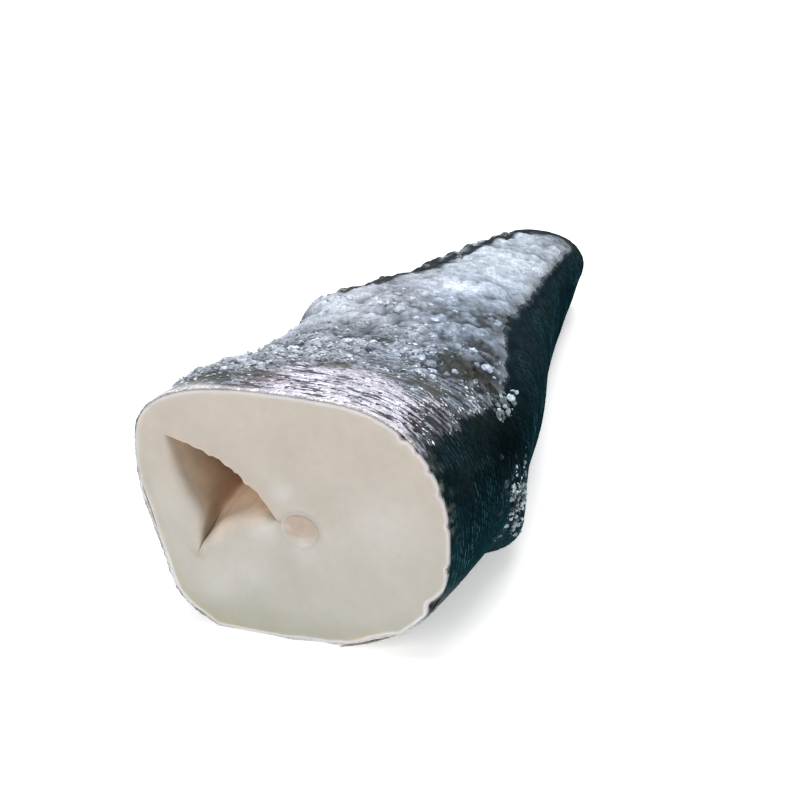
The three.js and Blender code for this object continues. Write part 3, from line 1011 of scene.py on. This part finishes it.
def frost_cover(share, turn, points):
    """0 bare skin, 1 thick frost: on the upper flank, thick towards the tail, lower between its lumps and
    higher on their tops: thinner frost there, and painted shade and light of the lumps
    """
    height, tone = crust(share, turn)
    tail = smooth(share, 0.42, 0.72)
    glitter = smooth(share, 0.06, 0.12) * (1 - smooth(turn, 0.75, 0.95))
    bare = 0.14 + 0.12 * glitter + 0.35 * noise(points, 4.0, 84)
    # the lumps' height makes their tops paler and the gaps darker: painted light and shade, besides thinner
    # frost in the gaps
    thick = mix(0.17, 0.5, tail) + 0.55 * height + mix(0.55, 0.4, tail) * (tone - 0.5)
    thick = thick + 0.2 * noise(points, 2.6, 83)
    level = mix(bare, thick, crust_strength(share, turn)) + patches(points)[0]
    return on_upper(share, turn, points) * np.clip(level, 0, 1)


def glare_cover(share, turn, points):
    """The whitish band behind the cut, on the side towards the back: a painted sheen, the reflection of the
    light from behind on wet skin
    """
    place = band(turn, FROST_EDGE, FROST_EDGE + 0.3, 1.0, 1.25)
    reach = 0.105 + 0.06 * noise(points, 14.0, 85) + 0.03 * noise(points, 5.0, 90)
    level = 0.95 + 0.45 * noise(points, 5.0, 88) + np.minimum(patches(points)[0], 0)
    return np.clip(place * (1 - smooth(share, reach - 0.06, reach + 0.05)) * level, 0, 1)


# Skin: a closed shell, finer on the upper flank
SKIN_ROWS, INNER_ROWS = 290, 24
UPPER_COLUMNS, OTHER_COLUMNS = 160, 140
UPPER_FROM, UPPER_TO = FROST_EDGE - 0.06, 1.85
SKIN_UNDER_FROST, SKIN_INSIDE = (0.016, 0.024, 0.030), (0.45, 0.44, 0.44)
SKIN_RIM, NICK_SHADE = (0.48, 0.47, 0.47), (0.012, 0.014, 0.014)
FROSTED = 0.5  # share of on_upper from which a face has a frosted look


def skin_turns():
    """Turns round the skin, closer together on the upper flank"""
    arcs = ring_arcs(0.2)
    low, high = np.interp((UPPER_FROM, UPPER_TO), RING_TURNS, arcs)
    upper = np.linspace(low, high, UPPER_COLUMNS, endpoint=False)
    rest = np.linspace(high, arcs[-1] + low, OTHER_COLUMNS, endpoint=False)
    return np.interp(np.concatenate([upper, rest]) % arcs[-1], arcs, RING_TURNS)


def skin_shape(share, turn):
    """Outer points of the skin, and inner ones in rows from the tail back to the cut"""
    spot = unrolled(share, turn)
    outer = crusted(share, turn, -0.1 + 0.12 * noise(spot, 5.0, 91) + rim_wave(share, turn))
    front = 0.35 + 0.7 * (1 + noise(spot[0], 3.5, 92)) * 0.6
    outer[0, :, 1] += front
    outer[1, :, 1] = np.maximum(outer[1, :, 1], outer[0, :, 1] + 0.2)
    outer[-1, :, 1] -= 0.2 + 0.3 * (1 + noise(spot[-1], 4.0, 93))
    outer[..., 2] = np.maximum(outer[..., 2], 0.0)
    in_share, in_turn = np.meshgrid(np.linspace(1, 0, INNER_ROWS), turn[0], indexing="ij")
    sunk = SKIN_THICK + CRUST_SUNK * crust_strength(in_share, in_turn)
    inner = lifted(in_share, in_turn, rim_wave(in_share, in_turn) - sunk)
    inner[-1, :, 1] += front
    inner[-2, :, 1] = np.maximum(inner[-2, :, 1], inner[-1, :, 1] + 0.2)
    inner[0, :, 1] = outer[-1, :, 1]
    inner[..., 2] = np.maximum(inner[..., 2], 0.6)
    return outer, inner


def skin_colours(share, turn, outer, upper):
    """Colour of the skin's outside, with its frost, its pale edge and the painted sheen behind the cut"""
    tint = paint(skin_tint(turn, outer), SKIN_UNDER_FROST, upper)
    tint = paint(tint, OLIVE * 0.5, 0.9 * (patches(outer)[1] * upper))
    tint = paint(tint, frost_tint(share, turn), frost_cover(share, turn, outer))
    # painted sheen behind the cut
    tint = paint(tint, GLARE * 0.7, 0.5 * glare_cover(share, turn, outer))
    tint = paint(tint, SHOULDER, 0.9 * pale_shoulder(turn, outer))
    tint[0] = paint(tint[0], SKIN_RIM, 0.85 * band(turn[0], 0.44, 0.58, 3.1, 3.5))
    return tint


def make_skin():
    turns = skin_turns()
    share, turn = np.meshgrid(np.linspace(0, 1, SKIN_ROWS), turns, indexing="ij")
    outer, inner = skin_shape(share, turn)
    upper = on_upper(share, turn, outer)
    tint = skin_colours(share, turn, outer, upper)
    nick = sum(bell(wrapped(turns - place), 1.3 * wide) for place, wide, _ in RIM_NICKS)
    nick = np.clip(nick, 0, 1)
    # painted shade on the skin's edge and inside at the nicks
    tint[0] = paint(tint[0], NICK_SHADE, nick)
    under = paint(np.broadcast_to(SKIN_INSIDE, inner.shape), NICK_SHADE, nick)
    lit = np.concatenate([tint, under]).reshape(-1, 3)
    # on frosted faces tint is the colour darkened to 0.3, lit is the colour itself: painted shade in the thin
    # crease lines near the cut
    tint = np.concatenate([paint(tint, tint * 0.3, upper > FROSTED), under]).reshape(-1, 3)
    line = np.concatenate([mix(0.05, 0.002, smooth(share, 0.22, 0.42)), np.full(inner.shape[:2], 0.002)])
    frosted = np.concatenate([upper > FROSTED, np.zeros(inner.shape[:2], bool)])
    points = np.concatenate([outer, inner])
    corner = np.arange(points[..., 0].size).reshape(points.shape[:2])
    below, beside = np.roll(corner, -1, 0), np.roll(corner, -1, 1)
    faces = np.stack([corner, below, np.roll(below, -1, 1), beside], -1).reshape(-1, 4).tolist()
    values = {"edge": np.ones(corner.size), "line": line.ravel()}
    return piece("skin", points.reshape(-1, 3), faces, [dark_skin_look, frosted_skin_look], 60,
                 {"tint": tint, "lit": lit}, values, frosted.ravel())


skin = make_skin()
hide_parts("trunk")


# Scales: thin closed lenses in staggered rows, each tucked under the row ahead of it
SCALE_RIM = 6  # points round a scale
SCALE_TOP, SCALE_UNDER = 6, 7  # numbers of the two in its middle
SCALE_POINTS = np.array((
    # the rim, then the middle above and below: towards the tail and round the body, in half sizes
    (-1.0, 0.75), (0.4, 1.0), (0.95, 0.5), (0.95, -0.5), (0.4, -1.0), (-1.0, -0.75), (0.1, 0.0), (0.1, 0.0),
))
SCALE_PITCH, SCALE_WIDTH, SCALE_LENGTH = 3.0, 4.4, 6.2
TAIL_SCALE_SIZE = 0.72  # as a share of the size at the cut
FIRST_SCALES_AT, LAST_SCALES_AT = 0.4, LENGTH - 4.0
NO_SCALES_FROM = 0.26  # share from which frost covers the scales on the upper flank
SCALE_UNDER_FROST, SCALE_UNDER_GLARE = np.array((0.022, 0.024, 0.027)), (0.026, 0.018, 0.026)
GLINT = np.array((0.035, 0.094, 0.108))
DARK_BLUSH, BLUSH_HUE = (0.10, 0.024, 0.034), (1.0, 0.80, 0.86)


def scale_places(rng, share, staggered, size):
    """Where a row has scales, as arc lengths round the body, and the arc lengths at RING_TURNS"""
    arcs = ring_arcs(share)
    n = int(round(arcs[-1] / (SCALE_WIDTH * size)))
    place = (np.arange(n) + 0.5 * staggered + rng.uniform(-0.12, 0.12, n)) / n * arcs[-1]
    here, turn = np.full(n, share), np.interp(place % arcs[-1], arcs, RING_TURNS)
    centre = surface(here, turn)
    keep = (centre[:, 2] > 0.8) & (crust_strength(here, turn) < 0.5)
    if share > NO_SCALES_FROM:
        for aside in (-0.06, 0.0, 0.06):
            keep &= on_upper(here, turn + aside, centre) < 0.02
    return place[keep], arcs


def scale_shape(rng, share, place, arcs, size):
    """Shares, turns and points of a row of scales"""
    n = len(place)
    along, across = SCALE_POINTS.T
    shift = rng.uniform(-0.7, 0.7, (n, 1)) * size
    a = along * (SCALE_LENGTH * size / 2 * rng.uniform(0.92, 1.06, (n, 1)))
    b = across * (SCALE_WIDTH * size * 0.62 * rng.uniform(0.75, 1.3, (n, 1)))
    swing = rng.normal(0, 0.07, (n, 1))
    tilt = rng.normal(0, 0.07, (n, 1))
    a, b = a - b * swing, b + a * swing
    high = -0.25 + 0.75 * ((along + 1) / 2) * size + tilt * across
    high = high - 0.12 * np.abs(across) ** 2
    high[:, SCALE_TOP] += 0.09
    high[:, SCALE_UNDER] -= 0.25
    s = np.clip(share + (a + shift) / LENGTH, 0.0012, 0.9988)
    t = np.interp((place[:, None] + b) % arcs[-1], arcs, RING_TURNS)
    p = crusted(s, t, high)
    p[..., 2] = np.maximum(p[..., 2], 0.06)
    p[..., 1] = np.clip(p[..., 1], 0.5, LENGTH - 0.3)
    return s, t, p


def scale_colours(rng, s, t, p, upper):
    """Colour of scales, and of the part that is lit, which carries painted highlights, frost and painted
    sheen
    """
    shade = rng.uniform(0.45, 1.45, (len(p), 1))
    faint = rng.uniform(0, 1, (len(p), 1))
    calm = 1 + 0.3 * (shade - 1)
    frost, glare, red = frost_cover(s, t, p), glare_cover(s, t, p), blush(p)
    frosty = frost_tint(s, t)
    base = paint(skin_tint(t, p) * calm[..., None], SCALE_UNDER_FROST * shade[..., None], upper)
    base = paint(base, OLIVE, 0.85 * patches(p)[1] * upper)
    base = paint(base, SCALE_UNDER_GLARE, 0.8 * glare)
    base = paint(base, frosty * 0.75, frost**2 * 0.9)
    # painted highlight on each scale's free edge: its colour made 1.6 times lighter, with a teal glint on the
    # dark back
    glint = dark_back(t) * calm * back_tone(t, p) * smooth(noise(p, 16.0, 89), -0.3, 0.6) * faint**1.5
    lit = base * 1.6 + GLINT * glint[..., None]
    frosted = np.clip(upper * (0.05 + 0.95 * frost), 0, 1)
    lit = paint(lit, frosty * np.clip(shade, 0.4, 1.35)[..., None], frosted)
    # painted sheen on the scales behind the cut
    lit = paint(lit, GLARE * np.clip(shade, 0.88, 1.1)[..., None], np.clip(0.95 * glare, 0, 1))
    base = paint(base, DARK_BLUSH, 0.8 * red)
    lit = lit * paint(1, BLUSH_HUE, red)
    base = paint(base, lit, upper * smooth(faint, 0.5, 0.8) * smooth(s, 0.2, 0.3))
    shoulder = 0.9 * pale_shoulder(t, p)
    return paint(base, SHOULDER, shoulder), paint(lit, SHOULDER, shoulder)


def make_scales():
    rng = np.random.default_rng(7)
    i = np.arange(SCALE_RIM)
    j = (i + 1) % SCALE_RIM
    top = np.stack([np.full(SCALE_RIM, SCALE_TOP), j, i], -1)
    under = np.stack([np.full(SCALE_RIM, SCALE_UNDER), i, j], -1)
    made, faces, frosted = [], [], []
    count, row = 0, 1
    y = FIRST_SCALES_AT
    while y < LAST_SCALES_AT:
        share = y / LENGTH
        size = mix(1.0, TAIL_SCALE_SIZE, share)
        place, arcs = scale_places(rng, share, row % 2, size)
        s, t, p = scale_shape(rng, share, place, arcs, size)
        upper = on_upper(s, t, p)
        tint, lit = scale_colours(rng, s, t, p, upper)
        line = 0.028 + 0.032 * smooth(-t, -0.85, -0.6) + 0.025 * smooth(t, 1.0, 1.2)
        made.append((p.reshape(-1, 3), tint.reshape(-1, 3), lit.reshape(-1, 3), line.ravel()))
        first = (count + np.arange(len(p)) * len(SCALE_POINTS))[:, None, None]
        for side in (top, under):
            faces.append((first + side).reshape(-1, 3))
            frosted.append(np.repeat(upper[:, SCALE_TOP] > FROSTED, SCALE_RIM))
        count += len(p) * len(SCALE_POINTS)
        y += SCALE_PITCH * size
        row += 1
    points, tint, lit, line = (np.concatenate(column) for column in zip(*made))
    edge = np.tile((SCALE_POINTS[:, 0] + 1) / 2, len(points) // len(SCALE_POINTS))
    return piece("scales", points, np.concatenate(faces).tolist(),
                 [dark_scale_look, frosted_scale_look], 35, {"tint": tint, "lit": lit},
                 {"edge": edge, "line": line}, np.concatenate(frosted))


scales = make_scales()
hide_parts("trunk")


# Ice: the source's lumps, and grains of frost on the upper flank and on the front of the dorsal stub
DARK_LUMP, LIGHT_LUMP = (0.004, 0.012, 0.015), (0.04, 0.06, 0.068)
DARK_RUBBLE = (0.16, 0.18, 0.21)
DARK_SHARD, LIGHT_SHARD = (0.30, 0.33, 0.36), (0.86, 0.89, 0.94)
COLD_HUE, WARM_HUE = np.array((0.82, 0.99, 1.0)), np.array((1.04, 0.94, 1.02))
DARK_CRYSTAL, LIGHT_CRYSTAL = (0.01, 0.022, 0.028), (0.58, 0.70, 0.76)
GIRTH_LINE = ((0, 1.0), (0.25, 0.95), (0.45, 0.82), (0.65, 0.62), (0.85, 0.44), (1, 0.34))
CRYSTALS = (
    # on the dorsal stub's front, and along the frost's edge at the shoulder
    {"from": 0.16, "to": 0.29, "low": -0.36, "high": 0.12, "tries": 2300, "large": 1.2},
    {"from": 0.2, "to": 0.34, "low": 0.28, "high": 0.47, "tries": 700, "large": 2.2},
)
OCTAHEDRON = (
    np.array(((1, 0, 0), (-1, 0, 0), (0, 1, 0), (0, -1, 0), (0, 0, 1), (0, 0, -1)), float),
    np.array(((0, 2, 4), (2, 1, 4), (1, 3, 4), (3, 0, 4), (2, 0, 5), (1, 2, 5), (3, 1, 5), (0, 3, 5))),
)


def ball(level):
    """An icosahedron, its faces split level times, as points on a unit ball and triangles"""
    g = (1 + 5**0.5) / 2
    corners = ((-1, g, 0), (1, g, 0), (-1, -g, 0), (1, -g, 0), (0, -1, g), (0, 1, g), (0, -1, -g), (0, 1, -g),
               (g, 0, -1), (g, 0, 1), (-g, 0, -1), (-g, 0, 1))
    faces = ((0, 11, 5), (0, 5, 1), (0, 1, 7), (0, 7, 10), (0, 10, 11), (1, 5, 9), (5, 11, 4),
             (11, 10, 2), (10, 7, 6), (7, 1, 8), (3, 9, 4), (3, 4, 2), (3, 2, 6), (3, 6, 8), (3, 8, 9),
             (4, 9, 5), (2, 4, 11), (6, 2, 10), (8, 6, 7), (9, 8, 1))
    points = [np.array(corner, float) / np.linalg.norm(corner) for corner in corners]
    for _ in range(level):
        seen, split = {}, []

        def between(i, j):
            key = (min(i, j), max(i, j))
            if key not in seen:
                middle = points[i] + points[j]
                points.append(middle / np.linalg.norm(middle))
                seen[key] = len(points) - 1
            return seen[key]

        for a, b, c in faces:
            ab, bc, ca = between(a, b), between(b, c), between(c, a)
            split += [(a, ab, ca), (b, bc, ab), (c, ca, bc), (ab, bc, ca)]
        faces = split
    return np.array(points), np.array(faces)


def matrices(*rows):
    return np.stack([np.stack(row, -1) for row in rows], 1)


def any_turns(rng, count):
    """Random rotations as matrices"""
    w, x, y, z = unit(rng.normal(size=(count, 4))).T
    return matrices(
        (1 - 2 * (y * y + z * z), 2 * (x * y - w * z), 2 * (x * z + w * y)),
        (2 * (x * y + w * z), 1 - 2 * (x * x + z * z), 2 * (y * z - w * x)),
        (2 * (x * z - w * y), 2 * (y * z + w * x), 1 - 2 * (x * x + y * y)),
    )


def slight_turns(rng, count, amount):
    """Small random rotations as matrices"""
    x, y, z = rng.normal(0, amount, (3, count))
    return matrices(
        (1 - (y * y + z * z) / 2, x * y / 2 - z, x * z / 2 + y),
        (x * y / 2 + z, 1 - (x * x + z * z) / 2, y * z / 2 - x),
        (x * z / 2 - y, y * z / 2 + x, 1 - (x * x + y * y) / 2),
    )


def on_flank(rng, count, low, high, turn_low, turn_high):
    """Random places, even by area along the flank"""
    share = rng.uniform(low, high, count * 3)
    share = share[rng.uniform(0, 1, len(share)) < drawn(share, GIRTH_LINE)][:count]
    return share, rng.uniform(turn_low, turn_high, len(share))


class Ice:
    """Grains of ice gathered into one mesh"""

    def __init__(self):
        self.rng = np.random.default_rng(17)
        self.points, self.faces, self.tints, self.dark = [], [], [], []
        self.count = 0

    def put(self, shapes, faces, centres, radius, colours, is_dark):
        """Adds shapes of one kind at their centres, with a colour each that varies from point to point"""
        n, per_shape = shapes.shape[:2]
        p = (centres[:, None, :] + shapes * radius[:, None, None]).reshape(-1, 3)
        p[:, 2] = np.maximum(p[:, 2], 0.05)
        self.points.append(p)
        numbers = faces[None] + (np.arange(n) * per_shape)[:, None, None]
        self.faces.append(numbers.reshape(-1, 3) + self.count)
        self.tints.append(np.repeat(colours, per_shape, 0) * self.rng.uniform(0.8, 1.2, (len(p), 1)))
        self.dark.append(np.full(n * len(faces), is_dark))
        self.count += len(p)

    def grains(self, shape, rough, flat, centres, normals, radius, colours, is_dark):
        """Adds faceted grains, turned at random, roughened, and flattened along the surface's normal"""
        base, faces = shape
        p = np.einsum("nij,kj->nki", any_turns(self.rng, len(centres)), base)
        p *= 1 + rough * self.rng.uniform(-1, 1, (*p.shape[:2], 1))
        up = np.einsum("nki,ni->nk", p, normals)
        p -= (up * (1 - flat[:, None]))[..., None] * normals[:, None, :]
        self.put(p, faces, centres, radius, colours, is_dark)

    def shards(self, sides, centres, normals, along, radius, colours):
        """Adds thin octahedra that lie on the surface, long round the body"""
        base, faces = OCTAHEDRON
        axes = np.stack([np.cross(normals, along), along, normals], -1)
        axes = np.einsum("nij,njk->nik", slight_turns(self.rng, len(centres), 0.3), axes)
        rough = 1 + 0.35 * self.rng.uniform(-1, 1, (len(centres), len(base), 1))
        p = np.einsum("nij,nkj->nki", axes, base[None] * sides[:, None, :] * rough)
        self.put(p, faces, centres, radius, colours, False)


def source_lumps(ice, group, is_dark):
    """The source's lumps, at the places that its rule gives them"""
    i = np.arange(1, group["count"] + 1)
    along, about, bulk = (i * step % 1 for step in ICE_STEPS)
    share = np.interp(mix(group["from"], group["to"], along), U_FINE, SHARE_FINE)
    turn = group["round"] + group["spread"] * about
    radius = mix(group["small"], group["large"], bulk**2)
    centre = crusted(share, turn, -ICE_SUNK * radius)
    if is_dark:
        keep = np.full(len(i), True)
        colour = paint(DARK_LUMP, LIGHT_LUMP, ice.rng.uniform(0, 1, len(i)) ** 2)
        shape, rough = ball(1), 0.3
    else:
        keep = crust_strength(share, turn) > 0.4
        cover = np.clip(0.35 + 0.65 * frost_cover(share, turn, centre), 0, 1)
        cover = on_upper(share, turn, centre) * cover
        colour = paint(skin_tint(turn, centre) * 1.2, frost_tint(share, turn), cover)
        shape, rough = ball(2), 0.1
    flat = np.full(int(keep.sum()), 0.9)
    normals = normal_at(share, turn)[keep]
    ice.grains(shape, rough, flat, centre[keep], normals, radius[keep], colour[keep], is_dark)


def rubble(ice):
    """Small rounded lumps between the large ones"""
    rng = ice.rng
    share, turn = on_flank(rng, 3400, 0.01, 0.6, FROST_EDGE - 0.02, 1.6)
    spot = surface(share, turn)
    chance = crust_strength(share, turn) * on_upper(share, turn, spot)
    chance = chance * smooth(noise(spot, 13.0, 99), -0.4, 0.5)
    chance = chance * (0.1 + 0.6 * frost_cover(share, turn, spot)) * (1 - smooth(share, 0.35, 0.6))
    keep = rng.uniform(0, 1, len(share)) < chance
    share, turn = share[keep], turn[keep]
    radius = mix(0.8, 3.2, rng.uniform(0, 1, len(share)) ** 2)
    colour = paint(DARK_RUBBLE, frost_tint(share, turn) * 1.1, rng.uniform(0.3, 1.0, len(share)))
    flat = rng.uniform(0.35, 0.8, len(share))
    centre = crusted(share, turn, -0.15 * radius)
    ice.grains(ball(1), 0.32, flat, centre, normal_at(share, turn), radius, colour, False)


def flank_shards(ice):
    """Shards on the upper flank, finer near the cut"""
    rng = ice.rng
    share, turn = on_flank(rng, 19000, 0.02, 0.97, FROST_EDGE - 0.03, 1.75)
    spot = surface(share, turn)
    chance = on_upper(share, turn, spot) * (0.12 + 0.75 * frost_cover(share, turn, spot))
    chance = chance * (1 - smooth(share, 0.12, 0.42)) * (1 - 0.85 * patches(spot)[1])
    keep = rng.uniform(0, 1, len(share)) < chance * (0.75 + 0.6 * noise(spot, 6.0, 101))
    share, turn = share[keep], turn[keep]
    n = len(share)
    size = mix(0.35, 1.05, rng.uniform(0, 1, n) ** 2) * mix(0.9, 1.5, smooth(share, 0.15, 0.8))
    grey = mix(rng.uniform(0, 1, n) ** 0.9, 0.8, 0.6 * smooth(share, 0.45, 0.8))
    colour = paint(DARK_SHARD, LIGHT_SHARD, grey)
    hue = rng.uniform(0, 1, (n, 1))
    colour = np.where(hue < 0.15, colour * COLD_HUE, colour)
    colour = np.where(hue > 0.85, colour * WARM_HUE, colour)
    sides = np.stack([rng.uniform(0.9, 1.9, n), rng.uniform(0.5, 0.9, n), rng.uniform(0.25, 0.5, n)], -1)
    centre = crusted(share, turn, 0.45 + 0.1 * size)
    ice.shards(sides, centre, normal_at(share, turn), unit(step_along(share, turn)), size, colour)


def crystals(ice, group):
    """Crystals in one place, most of them near its middle"""
    rng = ice.rng
    share, turn = on_flank(rng, group["tries"], group["from"], group["to"], group["low"], group["high"])
    spot = surface(share, turn)
    dense = np.sin(np.pi * (share - group["from"]) / (group["to"] - group["from"]))
    dense = dense * np.sin(np.pi * (turn - group["low"]) / (group["high"] - group["low"]))
    keep = dense + 0.7 * noise(spot, 4.0, 111) > rng.uniform(0.4, 1.5, len(share))
    normals = normal_at(share[keep], turn[keep])
    n = len(normals)
    size = mix(0.22, group["large"], rng.uniform(0, 1, n) ** 3)
    colour = paint(DARK_CRYSTAL, LIGHT_CRYSTAL, rng.uniform(0, 1, n) ** 2.2)
    centre = spot[keep] + normals * (0.3 + 0.2 * size)[:, None]
    ice.grains(ball(1), 0.3, np.full(n, 0.8), centre, normals, size, colour, True)


def make_ice():
    ice = Ice()
    source_lumps(ice, UPPER_ICE, False)
    source_lumps(ice, STUB_ICE, True)
    rubble(ice)
    flank_shards(ice)
    for group in CRYSTALS:
        crystals(ice, group)
    return piece("frost", np.concatenate(ice.points), np.concatenate(ice.faces).tolist(),
                 [ice_look, dark_ice_look], None, {"tint": np.concatenate(ice.tints)},
                 uses_second=np.concatenate(ice.dark))


frost = make_ice()
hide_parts("trunk")


# Stage, light and camera, in metres
FLOOR_HALF, FLOOR_UNDER = 12.0, 0.0003
FLOOR_LOOK = {"Base Color": (0.8, 0.8, 0.8, 1), "Roughness": 0.9, "Specular IOR Level": 0.0,
              "Emission Color": (1, 1, 1, 1), "Emission Strength": 0.45}


def make_floor():
    mesh = bpy.data.meshes.new("floor")
    corners = [(x * FLOOR_HALF, y * FLOOR_HALF, 0) for x, y in ((-1, -1), (1, -1), (1, 1), (-1, 1))]
    mesh.from_pydata(corners, [], [(0, 1, 2, 3)])
    material, _, shader = new_material("floor_look")
    for socket, value in FLOOR_LOOK.items():
        shader.inputs[socket].default_value = value
    mesh.materials.append(material)
    obj = bpy.data.objects.new("floor", mesh)
    obj.location.z = -FLOOR_UNDER
    bpy.context.scene.collection.objects.link(obj)


def look_along(obj, way):
    obj.rotation_mode = "QUATERNION"
    obj.rotation_quaternion = way.to_track_quat("-Z", "Y")


def area_light(name, location, target, size, power, colour):
    light = bpy.data.lights.new(name, "AREA")
    light.shape = "RECTANGLE"
    light.size, light.size_y = size
    light.energy = power
    light.color = colour
    obj = bpy.data.objects.new(name, light)
    obj.location = location
    look_along(obj, Vector(target) - Vector(location))
    bpy.context.scene.collection.objects.link(obj)


make_floor()
area_light("window_behind", (-0.5, 1.7, 1.5), (0, 0, 0.08), (1.6, 1.0), power=30.0, colour=(0.93, 0.97, 1.0))
area_light("overhead", (0.0, -0.1, 2.2), (0, 0, 0), (1.5, 1.5), power=36.0, colour=(1.0, 0.99, 0.98))
area_light("front_fill", (0.1, -1.9, 1.15), (-0.02, -0.15, 0.07), (1.5, 1.2), power=23.0,
           colour=(1.0, 0.99, 0.97))

world = bpy.data.worlds.new("studio")
bpy.context.scene.world = world
world.use_nodes = True
world.node_tree.nodes["Background"].inputs["Color"].default_value = (0.95, 0.97, 1.0, 1)
world.node_tree.nodes["Background"].inputs["Strength"].default_value = 0.35

AZIMUTH, ELEVATION = math.radians(19.3), math.radians(27.4)
LENS, SENSOR = 115.92, 36.0
CAMERA_AT = np.array((377.7, -930.0, 644.5))  # in the source's millimetres
level_reach = math.cos(ELEVATION)
back_way = Vector((math.sin(AZIMUTH) * level_reach, -math.cos(AZIMUTH) * level_reach, math.sin(ELEVATION)))
camera_data = bpy.data.cameras.new("camera")
camera_data.sensor_width = SENSOR
camera_data.lens = LENS
camera = bpy.data.objects.new("camera", camera_data)
camera.location = ((CAMERA_AT + SHIFT) * MM).tolist()
look_along(camera, -back_way)
bpy.context.scene.collection.objects.link(camera)
bpy.context.scene.camera = camera
bpy.context.scene.view_settings.view_transform = "Standard"
